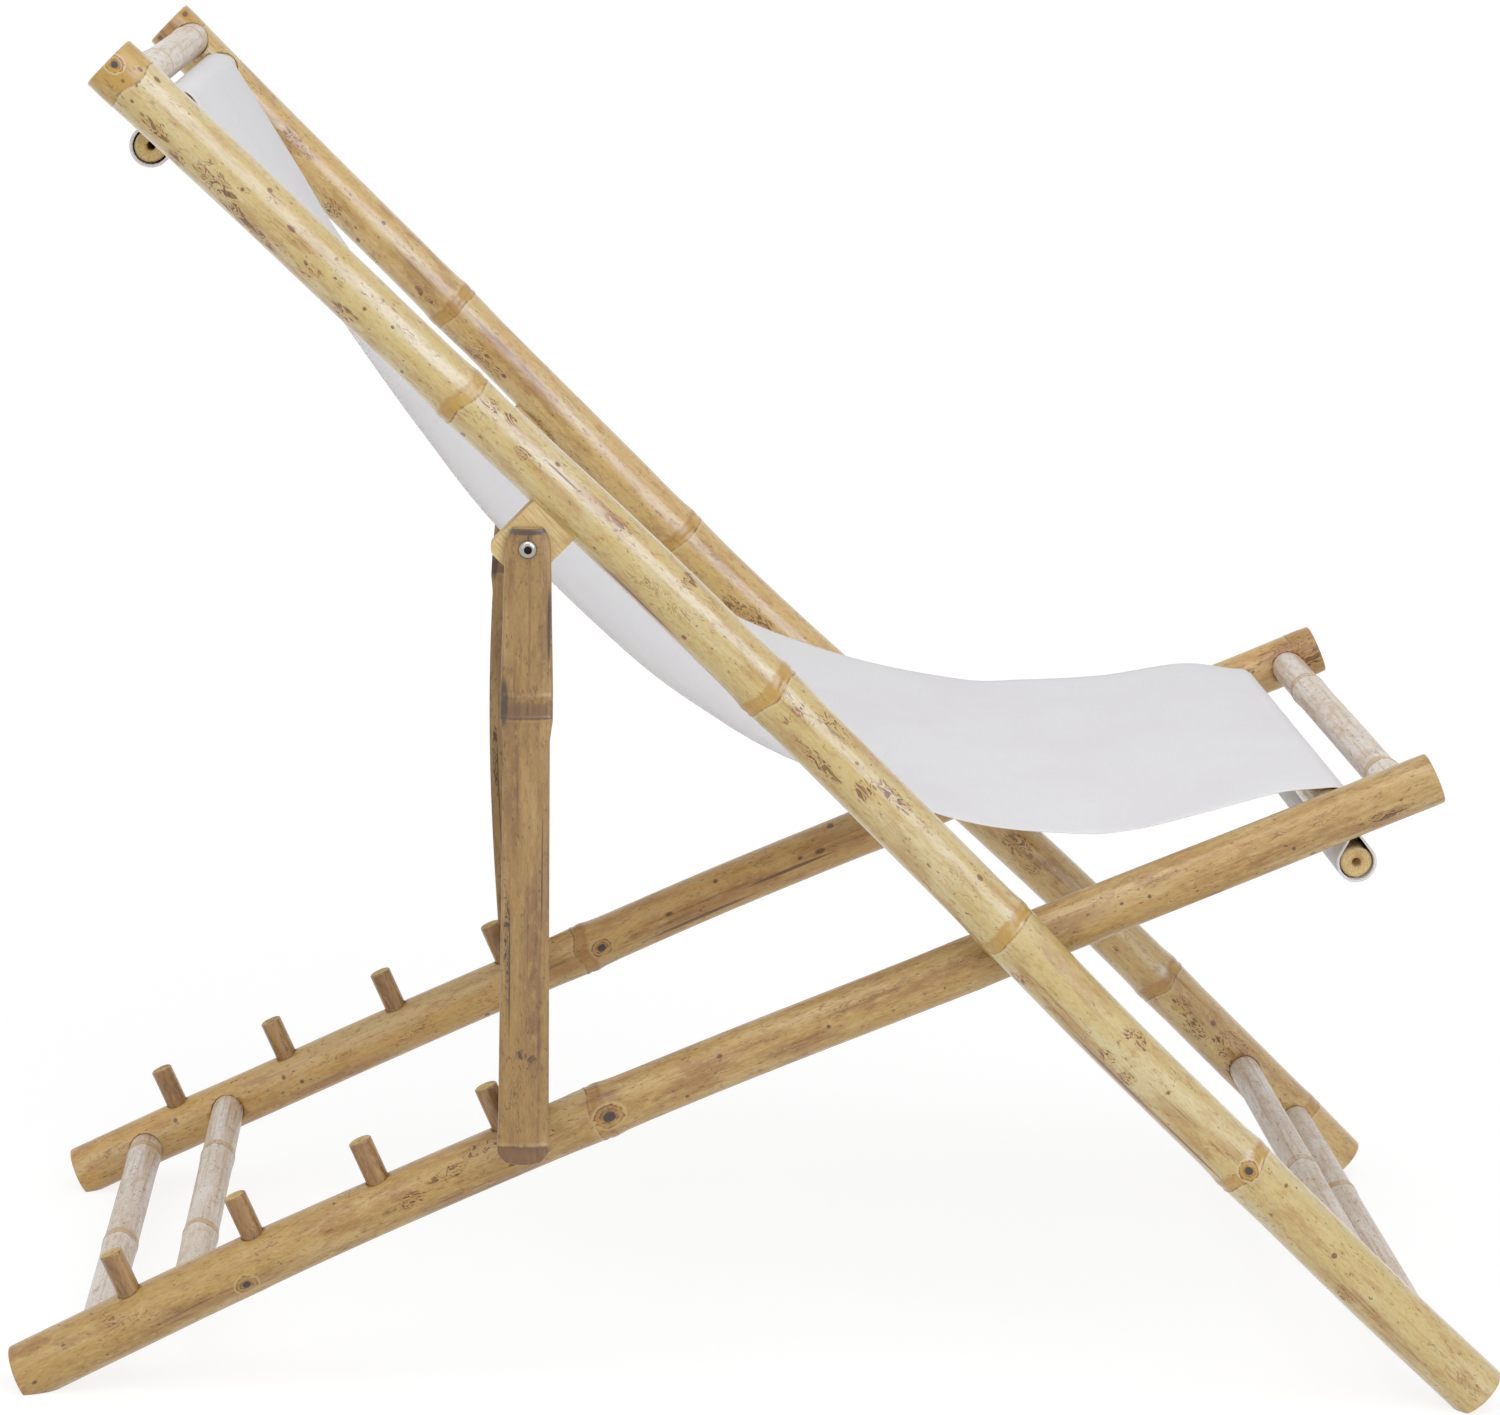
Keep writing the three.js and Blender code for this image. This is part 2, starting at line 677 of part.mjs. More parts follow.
// Prop bolts, washers and nuts: head outside the strip, nut on the ear's inner face
for (const [hand, side] of Object.entries(sides)) {
  const underHead = stripInnerFace + stripThickness + fit;
  const earInner = backHalfWidth - earThickness / 2;
  const nutFace = earInner - fit - washerThickness - fit;
  const boltLength = underHead - nutFace + nutHeight + boltTail;
  const shank = outward(bolt(boltRadius, boltLength, boltHeadRadius, boltHeadHeight), -side);
  add(backFrame, `prop_bolt_${hand}`, shank, finishes.steel, [-earPlace, side * underHead, -propPivotDrop]);
  const plate = outward(washer(washerRadius, boltRadius + fit, washerThickness), -side);
  const washerPlace = [-earPlace, side * (earInner - fit), -propPivotDrop];
  add(backFrame, `prop_washer_${hand}`, plate, finishes.steel, washerPlace);
  const hex = outward(nut(nutRadius, boltRadius + fit, nutHeight), -side);
  add(backFrame, `prop_nut_${hand}`, hex, finishes.steel, [-earPlace, side * nutFace, -propPivotDrop]);
}

// Rods of the sling: short culms with their bore open, a little longer than the cloth is wide
const plane = (frame, x, z) => {
  const place = frame.localToWorld(new THREE.Vector3(x, 0, z));
  return new THREE.Vector2(place.x, place.z);
};
const headRodCentre = plane(backFrame, headRodShift - headBarPlace, -headRodDrop);
const seatRodCentre = plane(seatFrame, seatBarPlace, -seatRodDrop);

function slingRod(frame, name, x, z) {
  const halfLength = slingHalfWidth + rodOverhang;
  const rod = culm({
    length: 2 * halfLength,
    radius: rodRadius,
    nodes: rodNodeShares[name].map((share) => share * 2 * halfLength),
    swell: 0,
    sideCount: smallSides,
    boreRadius: rodBoreRadius,
  });
  rod.translate(-halfLength, 0, 0);
  rod.rotateZ(Math.PI / 2);
  add(frame, name, rod, finishes.strawBamboo, [x, 0, z]);
}
slingRod(backFrame, 'head_sling_rod', headRodShift - headBarPlace, -headRodDrop);
slingRod(seatFrame, 'seat_sling_rod', seatBarPlace, -seatRodDrop);

// Sling: over both bars, down between each bar and its rail, and round the rod in a sewn hem
const headBarCentre = plane(backFrame, -headBarPlace, 0);
const seatBarCentre = plane(seatFrame, seatBarPlace, middleRise(seatBarPlace) + seatBarLift);
const headWrap = headBarRadius + railNodeSwell + fit + clothThickness / 2;
const seatWrap = seatBarRadius + railNodeSwell + fit + clothThickness / 2;

function around(centre, radius, fromDegrees, toDegrees) {
  return Array.from({ length: arcSteps + 1 }, (_, i) => {
    const angle = THREE.MathUtils.lerp(fromDegrees, toDegrees, i / arcSteps) * degree;
    return new THREE.Vector2(centre.x + radius * Math.cos(angle), centre.y + radius * Math.sin(angle));
  });
}

// The cloth turns over the head bar from its gap to its sitter's side, and over the seat bar to its front
const headTurn = around(headBarCentre, headWrap, headTurnFrom, headTurnTo);
const seatTurn = around(seatBarCentre, seatWrap, seatTurnFrom, seatTurnTo);
const hangStart = headTurn[arcSteps];
const hangEnd = seatTurn[0];
const span = new THREE.Vector2().subVectors(hangEnd, hangStart);
const below = new THREE.Vector2(span.y, -span.x);
const hangPoints = slingHangShares.map(([alongShare, belowShare]) => hangStart.clone()
  .addScaledVector(span, alongShare).addScaledVector(below, belowShare));
const hang = new THREE.SplineCurve([hangStart, ...hangPoints, hangEnd]).getPoints(slingSteps).slice(1, -1);

// A hem's throat lies on the line from the rod to where the cloth comes off the bar
function throat(rodCentre, from, reach) {
  return rodCentre.clone().addScaledVector(from.clone().sub(rodCentre).normalize(), reach);
}
const headThroat = throat(headRodCentre, headTurn[0], headHemThroat);
const seatThroat = throat(seatRodCentre, seatTurn[arcSteps], seatHemThroat);
const midline = [headThroat, ...headTurn, ...hang, ...seatTurn, seatThroat];

function ribbon(points, thickness) {
  const normals = points.map((point, i) => {
    const before = points[Math.max(i - 1, 0)];
    const after = points[Math.min(i + 1, points.length - 1)];
    const along = new THREE.Vector2().subVectors(after, before).normalize();
    return new THREE.Vector2(-along.y, along.x);
  });
  const edge = (offset) => points.map((point, i) => point.clone().addScaledVector(normals[i], offset));
  return new THREE.Shape([...edge(-thickness / 2), ...edge(thickness / 2).reverse()]);
}

// A loop of cloth drawn to a point: an arc round the rod closed by its two tangents from the throat
function drop(centre, radius, apex) {
  const reach = new THREE.Vector2().subVectors(apex, centre);
  const middle = reach.angle();
  const open = Math.acos(radius / reach.length());
  const steps = 2 * smallSides;
  const points = Array.from({ length: steps + 1 }, (_, i) => {
    const angle = middle + open + (2 * Math.PI - 2 * open) * i / steps;
    return new THREE.Vector2(centre.x + radius * Math.cos(angle), centre.y + radius * Math.sin(angle));
  });
  return new THREE.Shape([apex.clone(), ...points]);
}

function acrossSling(shape, extra = 0) {
  const depth = 2 * (slingHalfWidth + extra);
  const geometry = extruded(shape, depth);
  geometry.rotateX(Math.PI / 2);
  geometry.translate(0, depth / 2, 0);
  return toSolid(geometry);
}

function hem(rodCentre, apex) {
  const inner = rodRadius + looseFit;
  const inward = rodCentre.clone().sub(apex).normalize();
  const outerApex = apex.clone().addScaledVector(inward, -seamThickness);
  const innerApex = apex.clone().addScaledVector(inward, clothThickness);
  const loop = acrossSling(drop(rodCentre, inner + clothThickness, outerApex));
  const room = acrossSling(drop(rodCentre, inner, innerApex), overrun);
  return { loop, room };
}
const hems = [hem(headRodCentre, headThroat), hem(seatRodCentre, seatThroat)];
let cloth = acrossSling(ribbon(midline, clothThickness));
for (const { loop } of hems) cloth = cloth.add(loop);
for (const { room } of hems) cloth = cloth.subtract(room);
add(recliner, 'sling', toGeometry(cloth), finishes.canvas);

// The origin goes under the middle of the whole chair, on the floor
recliner.updateMatrixWorld(true);
const extent = new THREE.Box3().setFromObject(recliner, true);
recliner.position.set(-(extent.min.x + extent.max.x) / 2, -(extent.min.y + extent.max.y) / 2, -extent.min.z);
recliner.updateMatrixWorld(true);
console.log('size', extent.getSize(new THREE.Vector3()).toArray());
console.log('crossing', backFrame.getWorldPosition(new THREE.Vector3()).toArray());
console.log('prop pivot', propFrame.getWorldPosition(new THREE.Vector3()).toArray());

export default recliner;
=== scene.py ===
"""Looks of a folding bamboo sling chair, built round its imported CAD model. Metres, +Z up, +X to the front."""
import bpy
import numpy as np
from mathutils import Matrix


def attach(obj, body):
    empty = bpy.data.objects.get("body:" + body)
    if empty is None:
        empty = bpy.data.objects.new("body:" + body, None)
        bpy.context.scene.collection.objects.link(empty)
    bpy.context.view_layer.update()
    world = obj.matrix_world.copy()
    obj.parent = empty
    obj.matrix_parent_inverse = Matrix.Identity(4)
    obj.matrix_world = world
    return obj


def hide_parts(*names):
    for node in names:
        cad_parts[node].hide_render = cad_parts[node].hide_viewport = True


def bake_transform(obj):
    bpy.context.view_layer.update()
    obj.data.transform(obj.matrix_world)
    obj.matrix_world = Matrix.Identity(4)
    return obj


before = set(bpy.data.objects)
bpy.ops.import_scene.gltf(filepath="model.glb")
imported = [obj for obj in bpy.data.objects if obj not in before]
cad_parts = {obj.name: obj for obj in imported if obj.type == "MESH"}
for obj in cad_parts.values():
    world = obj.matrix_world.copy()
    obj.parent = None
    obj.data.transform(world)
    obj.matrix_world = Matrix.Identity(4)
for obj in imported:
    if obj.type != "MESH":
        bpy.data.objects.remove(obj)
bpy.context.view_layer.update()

# Axes of the three bodies, in the part's frame
# The back frame's poles run down to the feet, the seat frame's up to the front, and the strips down.
crossing = np.array([0.195777, 0.0, 0.348906])
prop_pivot = np.array([-0.177103, 0.0, 0.652224])
back_slope = np.radians(43.9)
seat_slope = np.radians(23.9)
prop_lean = -0.00156
across = np.array([0.0, 1.0, 0.0])
towards_camera = np.array([0.0, -1.0, 0.0])
back_along = np.array([np.cos(back_slope), 0.0, -np.sin(back_slope)])
back_up = np.array([np.sin(back_slope), 0.0, np.cos(back_slope)])
seat_along = np.array([np.cos(seat_slope), 0.0, np.sin(seat_slope)])
seat_up = np.array([-np.sin(seat_slope), 0.0, np.cos(seat_slope)])
prop_down = -np.array([np.sin(prop_lean), 0.0, np.cos(prop_lean)])
prop_front = np.array([np.cos(prop_lean), 0.0, -np.sin(prop_lean)])
hands = {"right": -1.0, "left": 1.0}


def linear(red, green, blue):
    """The linear colour of an sRGB colour given from 0 to 255."""
    channel = np.array([red, green, blue]) / 255
    value = np.where(channel <= 0.04045, channel / 12.92, ((channel + 0.055) / 1.055) ** 2.4)
    return (*(float(x) for x in value), 1.0)


tone_names = ("Base", "Pale", "Deep", "Band", "Mark")


def palette(*colours, **shares):
    """A culm's tones by name, from their sRGB colours."""
    return {**{name: linear(*colour) for name, colour in zip(tone_names, colours)}, **shares}


# Node trees
# The nodes of a material, a group or the world are all added through the same few helpers.
class Tree:
    """A node tree. Each helper adds a node or a few, and returns one output."""

    def __init__(self, tree):
        self.tree = tree

    def fill(self, sockets, values):
        """Sets or links sockets by name or number."""
        for key, value in dict(values).items():
            if isinstance(value, bpy.types.NodeSocket):
                self.tree.links.new(value, sockets[key])
            else:
                sockets[key].default_value = value

    def put(self, kind, inputs=(), output=0, **settings):
        """A new node with its settings and inputs."""
        made = self.tree.nodes.new("ShaderNode" + kind)
        for name, value in settings.items():
            setattr(made, name, value)
        self.fill(made.inputs, inputs)
        return made.outputs[output]

    def chain(self, operation, *values):
        """One math operation over two or more values."""
        total = values[0]
        for value in values[1:]:
            total = self.put("Math", {0: total, 1: value}, operation=operation)
        return total

    def times(self, *values):
        return self.chain("MULTIPLY", *values)

    def plus(self, *values):
        return self.chain("ADD", *values)

    def most(self, *values):
        return self.chain("MAXIMUM", *values)

    def centred(self, value, weight):
        """A noise's distance from its mean, times a weight."""
        return self.times(self.chain("SUBTRACT", value, 0.5), weight)

    def weighed(self, *rows):
        """The sum of rows of value and weight."""
        return self.plus(*(self.times(value, weight) for value, weight in rows))

    def sine(self, value, rate):
        return self.put("Math", {0: self.times(value, rate)}, operation="SINE")

    def span(self, value, low, high, start=0.0, end=1.0):
        """A smooth step of value: start up to low, end from high on."""
        return self.put("MapRange", {0: value, 1: low, 2: high, 3: start, 4: end},
                        interpolation_type="SMOOTHSTEP")

    def blend(self, share, first, second):
        """first mixed with second by share."""
        return self.put("Mix", {0: share, 6: first, 7: second}, output=2, data_type="RGBA")

    def noise(self, place, scale, detail=2.0, roughness=0.5, distortion=0.0):
        """Soft random values around a half."""
        return self.put("TexNoise", {"Vector": place, "Scale": scale, "Detail": detail,
                                     "Roughness": roughness, "Distortion": distortion})

    def vector(self, operation, first, second, output=0):
        return self.put("VectorMath", {0: first, 1: second}, output, operation=operation)

    def stretched(self, place, factors, offset=(0.0, 0.0, 0.0)):
        """A place multiplied by three factors and shifted."""
        return self.vector("ADD", self.vector("MULTIPLY", place, factors), offset)

    def bump(self, height, strength, distance):
        return self.put("Bump", {"Height": height, "Strength": strength, "Distance": distance})


def new_group(name, inputs, outputs):
    """An empty node group from its sockets' names and kinds, with the sockets of its two end nodes."""
    group = bpy.data.node_groups.new(name, "ShaderNodeTree")
    for way, sockets in (("INPUT", inputs), ("OUTPUT", outputs)):
        for label, kind in sockets.items():
            group.interface.new_socket(label, in_out=way, socket_type="NodeSocket" + kind)
    return Tree(group), group.nodes.new("NodeGroupInput").outputs, group.nodes.new("NodeGroupOutput").inputs


def new_material(name):
    """A material, its node tree and its shader's inputs."""
    material = bpy.data.materials.new(name)
    material.use_nodes = True
    return material, Tree(material.node_tree), material.node_tree.nodes["Principled BSDF"].inputs


# Bamboo skin
# Each culm carries two maps: its place straightened out, in metres, and its distance from the nearest node.
# The skin is straw or brown with long streaks, an ochre band over each node's thin dark scar, and specks.
def make_patch():
    """One scar's share: 1 at its middle, 0 outside an ellipsoid. Share is 1 over each of its half sizes."""
    tree, given, out = new_group("patch", dict.fromkeys(("Place", "Middle", "Share"), "Vector"),
                                 {"Mask": "Float"})
    away = tree.vector("SUBTRACT", given["Place"], given["Middle"])
    scaled = tree.vector("MULTIPLY", away, given["Share"])
    length = tree.put("VectorMath", {0: scaled}, output=1, operation="LENGTH")
    tree.fill(out, {"Mask": tree.chain("SUBTRACT", 1.0, length)})
    return tree.tree


def make_skin():
    """Colour, roughness and height of a culm's skin from its place, its node distance and its scars."""
    tree, given, out = new_group(
        "bamboo_skin",
        {"Place": "Vector", "Node": "Float", **dict.fromkeys(tone_names, "Color"),
         **dict.fromkeys(("Streaks", "Trails", "Specks", "Scribble", "Stain", "Spot", "Eye"), "Float")},
        {"Colour": "Color", "Roughness": "Float", "Height": "Float"})
    place, node = given["Place"], given["Node"]
    times, plus, most, span, centred = tree.times, tree.plus, tree.most, tree.span, tree.centred

    def cloud(along, round_it, detail, roughness, offset=(0.0, 0.0, 0.0), bend=0.0):
        """Noise of so many waves a metre along the culm and round it."""
        where = tree.stretched(place, (along, round_it, round_it), offset)
        return tree.noise(where, 1.0, detail, roughness, bend)

    def paint(colour, *layers):
        """A colour under layers: rows of share, weight and tone."""
        for share, weight, tone in layers:
            colour = tree.blend(times(share, weight), colour, given[tone])
        return colour

    # Mottling in long patches, blotches and fibres
    broad = cloud(8.0, 50.0, 3.0, 0.55)
    shade = cloud(17.0, 62.0, 4.0, 0.65, (3.1, 0.4, 7.7))
    mottle = cloud(75.0, 210.0, 4.0, 0.7, (9.0, 1.0, 2.0))
    grain = cloud(190.0, 900.0, 3.0, 0.65, (0.0, 5.2, 1.4))
    streak = cloud(9.0, 300.0, 3.0, 0.6, (5.0, 2.2, 4.1))
    colour = paint(given["Base"], (span(broad, 0.46, 0.64), 0.75, "Pale"),
                   (span(shade, 0.5, 0.66), 0.6, "Deep"), (span(streak, 0.5, 0.68), given["Streaks"], "Deep"),
                   (span(mottle, 0.52, 0.66), 0.36, "Deep"), (span(mottle, 0.46, 0.34), 0.4, "Pale"),
                   (span(grain, 0.52, 0.66), 0.45, "Deep"), (span(grain, 0.46, 0.32), 0.25, "Pale"))

    # Node: ochre band on its upper side, a rind over it and a thin brown ledge at its foot, all broken
    jag = plus(centred(mottle, 0.012), centred(grain, 0.004))
    ragged = plus(node, jag)
    band = times(span(node, -0.0006, 0.0004), span(ragged, 0.0135, 0.0085), span(shade, 0.36, 0.5, 0.45, 1.0))
    rind = times(span(ragged, 0.0075, 0.0092), span(ragged, 0.0125, 0.0105), span(node, 0.004, 0.006))
    thin = plus(node, times(jag, 0.12))
    scar = times(span(thin, -0.0009, -0.0003), span(thin, 0.0009, 0.0002), span(mottle, 0.42, 0.6, 0.25, 1.0))
    under = times(span(thin, -0.0036, -0.0018), span(thin, -0.0008, -0.0016))
    colour = paint(colour, (band, 0.85, "Band"), (times(band, span(mottle, 0.48, 0.62)), 0.6, "Deep"),
                   (rind, 0.55, "Deep"), (scar, 0.8, "Mark"), (under, 0.4, "Pale"))

    # Trails: thin brown isolines of a bent cloud, a few anywhere and many inside the scarred patches
    swirl = cloud(50.0, 135.0, 2.0, 0.5, (2.0, 6.0, 1.0), bend=1.8)
    trail = span(tree.sine(swirl, 34.0), 0.5, 0.9)
    sparse = span(cloud(24.0, 80.0, 2.0, 0.5, (8.0, 3.0, 3.0)), 0.61, 0.66)
    torn = span(plus(given["Scribble"], centred(mottle, 1.5)), 0.12, 0.4)
    core = times(torn, span(swirl, 0.58, 0.62))
    scribble = most(times(trail, torn), times(core, 0.8), times(trail, sparse, given["Trails"]))
    colour = paint(colour, (torn, 0.25, "Band"), (scribble, 0.95, "Mark"))

    # Stains, dashes, specks and knots' spots. Stain and spot rows along a pole's lower edge also paint shade of
    # its lower side
    stain_and_shade = times(span(given["Stain"], 0.0, 0.7), span(plus(broad, mottle), 0.74, 1.1))
    wander = tree.put("TexNoise", {"Vector": place, "Scale": 260.0, "Detail": 2.0}, output=1)
    moved = tree.vector("ADD", place, tree.put("VectorMath", {0: wander, 3: 0.004}, operation="SCALE"))

    def cells(along, round_it):
        """The distance from the nearest of many scattered points, and a random value for each point."""
        where = tree.stretched(moved, (along, round_it, round_it))
        found = tree.put("TexVoronoi", {"Vector": where, "Scale": 1.0}).node.outputs
        return found["Distance"], tree.put("SeparateColor", {0: found["Color"]})

    away, chosen = cells(150.0, 520.0)
    dash = times(span(away, 0.34, 0.2), span(chosen, 0.8, 0.9))
    away, chosen = cells(110.0, 190.0)
    speck = times(span(away, 0.24, 0.12), span(plus(chosen, given["Specks"]), 0.97, 1.0))
    spots = most(span(given["Spot"], 0.0, 0.5), speck)
    colour = paint(colour, (stain_and_shade, 0.65, "Deep"), (times(stain_and_shade, span(streak, 0.5, 0.66)), 0.5, "Mark"),
                   (dash, 0.6, "Mark"), (spots, 0.85, "Mark"))

    # Branch scar: a ragged pale patch with brown arcs round a pit, painted near black as the shade in its hole
    eye = plus(given["Eye"], centred(mottle, 0.7))
    disc = times(span(eye, 0.0, 0.2), span(given["Eye"], 0.0, 0.15))
    rim = times(disc, span(eye, 0.34, 0.2))
    arcs = times(span(tree.sine(eye, 24.0), 0.2, 0.9), disc, span(mottle, 0.4, 0.55))
    # Painted shade: the pit's hole is only a dip in the bump, so its darkness is painted into the colour.
    pit_with_shade = span(plus(given["Eye"], times(jag, 18.0)), 0.6, 0.74)
    colour = paint(colour, (disc, 0.55, "Band"), (rim, 0.6, "Pale"), (arcs, 0.75, "Mark"))

    tree.fill(out, {
        "Colour": tree.blend(pit_with_shade, colour, linear(46, 30, 18)),
        "Roughness": plus(span(mottle, 0.3, 0.8, 0.26, 0.38), times(scribble, 0.2), times(band, 0.08)),
        "Height": tree.weighed((grain, 0.16), (streak, 0.12), (mottle, 0.2), (scribble, -0.5), (spots, -0.5),
                               (pit_with_shade, -1.5), (rim, 0.5), (scar, -0.5))})
    return tree.tree


patch = make_patch()
skin = make_skin()
straw = palette((196, 173, 112), (207, 192, 150), (168, 128, 68), (178, 136, 34), (104, 50, 8))
khaki = palette((201, 168, 102), (212, 189, 136), (158, 113, 56), (178, 134, 36), (94, 48, 12))
brown = palette((176, 141, 76), (192, 166, 112), (138, 92, 40), (164, 124, 56), (78, 40, 10))
bleached = palette((213, 200, 185), (225, 217, 212), (186, 158, 124), (190, 156, 104), (112, 74, 42),
                   Streaks=0.8, Trails=0.0)
peg_wood = palette((150, 110, 56), (176, 140, 86), (108, 68, 30), (150, 110, 56), (58, 34, 16))


def patches(tree, place, rows, radius, depth):
    """The greatest share of several scars: rows of place along and up, half length and half width, in mm."""
    steepest = 0.97
    total = 0.0
    for along, up, half_length, half_width in rows:
        up = float(np.clip(up / 1000, -radius * steepest, radius * steepest))
        middle = (along / 1000, up, float(np.sqrt(radius ** 2 - up ** 2)))
        share = (1000 / half_length, 1000 / half_width, 1 / depth)
        total = tree.most(total, tree.put("Group", {"Place": place, "Middle": middle, "Share": share},
                                          node_tree=patch))
    return total


def bamboo(name, tones, radius=0.02, specks=0.0, seed=0.0, gloss=1.0, scars=(), depth=0.012):
    """A culm's skin as a material, with its own seed and its own lists of scars by kind."""
    material, tree, shader = new_material(name)
    first, second = (tree.put("SeparateXYZ", {0: tree.put("UVMap", uv_map=label)}).node.outputs
                     for label in ("place", "node"))
    place = tree.put("CombineXYZ", {0: first[0], 1: first[1], 2: second[0]})
    inputs = {"Place": tree.vector("ADD", place, (seed * 3.7, seed * 1.3, seed * 2.1)), "Node": second[1],
              "Specks": specks, "Streaks": 0.3, "Trails": 0.5, **tones}
    for kind, rows in dict(scars).items():
        inputs[kind] = patches(tree, place, rows, radius, depth)
    colour, rough, height = tree.put("Group", inputs, node_tree=skin).node.outputs
    tree.fill(shader, {"Base Color": colour, "Roughness": tree.plus(rough, 1.0 - gloss),
                       "Coat Weight": 0.8 * gloss, "Coat Roughness": 0.22,
                       "Normal": tree.bump(height, 0.35, 0.0006)})
    return material


def make_end_grain(name, tone, dark):
    """Sawn end of a culm: dots of fibre bundles on pale wood, seen along the fibres."""
    material, tree, shader = new_material(name)
    place = tree.put("TexCoord", output=3)
    dots = tree.put("TexVoronoi", {"Vector": place, "Scale": 900.0})
    colour = tree.blend(tree.span(dots, 0.45, 0.2), tone, dark)
    colour = tree.blend(tree.span(tree.noise(place, 90.0, 3.0), 0.45, 0.75), colour, dark)
    tree.fill(shader, {"Base Color": colour, "Roughness": 0.75, "Normal": tree.bump(dots, 0.3, 0.0003)})
    return material


end_grain = make_end_grain("end_grain", linear(188, 150, 88), linear(128, 88, 44))
pale_grain = make_end_grain("pale_end_grain", linear(206, 176, 116), linear(140, 104, 58))
rod_grain = make_end_grain("rod_end_grain", linear(216, 190, 132), linear(176, 142, 84))


# Meshes
# Surfaces are grids of points: rings of equal count, closed by a middle point at either end.
def ring_faces(rings, sides, first, last):
    """Quads between rings of points, and triangles to the first and last middle points."""
    i = np.arange(rings - 1)[:, None] * sides
    j = np.arange(sides)[None, :]
    k = (j + 1) % sides
    quads = np.stack([i + j, i + k, i + sides + k, i + sides + j], 2).reshape(-1, 4)
    j = j[0]
    k = k[0]
    start = np.stack([np.full(sides, first), k, j], 1)
    top = (rings - 1) * sides
    end = np.stack([np.full(sides, last), top + j, top + k], 1)
    return quads, start, end


def show(name, data):
    """An object in the scene."""
    obj = bpy.data.objects.new(name, data)
    bpy.context.scene.collection.objects.link(obj)
    return obj


def build(name, points, quads, triangles, maps, slots, materials):
    """A mesh object from points, quads and triangles, with UV maps given per point and a slot per face."""
    mesh = bpy.data.meshes.new(name)
    mesh.from_pydata(points.tolist(), [], quads.tolist() + triangles.tolist())
    corner = np.empty(len(mesh.loops), np.int32)
    mesh.loops.foreach_get("vertex_index", corner)
    for label, values in maps.items():
        layer = mesh.uv_layers.new(name=label)
        layer.data.foreach_set("uv", np.ascontiguousarray(values[corner], np.float32).ravel())
    for material in materials:
        mesh.materials.append(material)
    mesh.polygons.foreach_set("material_index", np.array(slots, np.int32))
    mesh.polygons.foreach_set("use_smooth", np.ones(len(slots), bool))
    mesh.validate()
    mesh.update()
    return show(name, mesh)


def tube(name, grid, middles, maps, slots, materials, flipped=False):
    """A closed mesh from a grid of rings and a middle point at either end. Each map has two grids of values
    and its rows for the middles. slots has a slot for the first end, each row of quads and the last end."""
    rings, sides = grid.shape[:2]
    count = rings * sides
    faces = ring_faces(rings, sides, count, count + 1)
    quads, low, high = (part[:, ::-1] if flipped else part for part in faces)
    maps = {label: np.concatenate([np.stack([first, second], 2).reshape(-1, 2), ends])
            for label, (first, second, ends) in maps.items()}
    points = np.concatenate([grid.reshape(-1, 3), middles])
    slots = np.repeat(slots[1:-1] + slots[:1] + slots[-1:], sides)
    return build(name, points, quads, np.concatenate([low, high]), maps, slots, materials)


def bell(place, middle, width):
    """A bell curve, 1 at its middle."""
    return np.exp(-((place - middle) / width) ** 2)


def rounding(share):
    """How far a quarter circle has dropped: 0 up to share 0, and 1 from share 1 on."""
    return 1 - np.sqrt(1 - np.clip(share, 0, 1) ** 2)


def circle_about(axis, sides):
    """Points on the unit circle square to an axis."""
    first = np.cross(axis, [0.31, 0.52, 0.79])
    first /= np.linalg.norm(first)
    angle = np.arange(sides) * 2 * np.pi / sides
    return np.cos(angle)[:, None] * first + np.sin(angle)[:, None] * np.cross(axis, first)


def bored(obj, cutters):
    """obj with round bores cut out: rows of two end points and a radius."""
    sides = 40
    points, quads, triangles = [], [], []
    for number, (start, end, radius) in enumerate(cutters):
        circle = radius * circle_about((end - start) / np.linalg.norm(end - start), sides)
        four, low, high = ring_faces(2, sides, 2 * sides, 2 * sides + 1)
        count = number * (2 * sides + 2)
        points += [start + circle, end + circle, start[None], end[None]]
        quads.append(four + count)
        triangles += [low + count, high + count]
    points, quads, triangles = (np.concatenate(parts) for parts in (points, quads, triangles))
    blank = dict.fromkeys(("place", "node"), np.zeros((len(points), 2)))
    inside = np.ones(len(quads) + len(triangles))
    tool = build("tool", points, quads, triangles, blank, inside, obj.data.materials[:])
    cut = obj.modifiers.new("bores", "BOOLEAN")
    cut.operation = "DIFFERENCE"
    cut.solver = "EXACT"
    cut.object = tool
    bpy.context.view_layer.update()
    made = bpy.data.meshes.new_from_object(obj.evaluated_get(bpy.context.evaluated_depsgraph_get()))
    obj.modifiers.clear()
    obj.data = made
    bpy.data.objects.remove(tool)
    return obj


def rings_along(length, places, coarse=0.006, fine=0.0008, near=0.016, ease=0.002, least=0.0004):
    """Places of the rings along a culm: close together at nodes and ends, wider apart elsewhere."""
    marks = [np.linspace(0, ease, 5), np.linspace(length - ease, length, 5)]
    marks.append(np.arange(ease, length - ease, coarse))
    marks += [np.arange(max(p - near, ease), min(p + near, length - ease), fine) for p in places]
    found = np.unique(np.round(np.concatenate(marks), 5))
    kept = [found[0]]
    for value in found[1:]:
        if value - kept[-1] > least:
            kept.append(value)
    kept[-1] = length
    return np.array(kept)


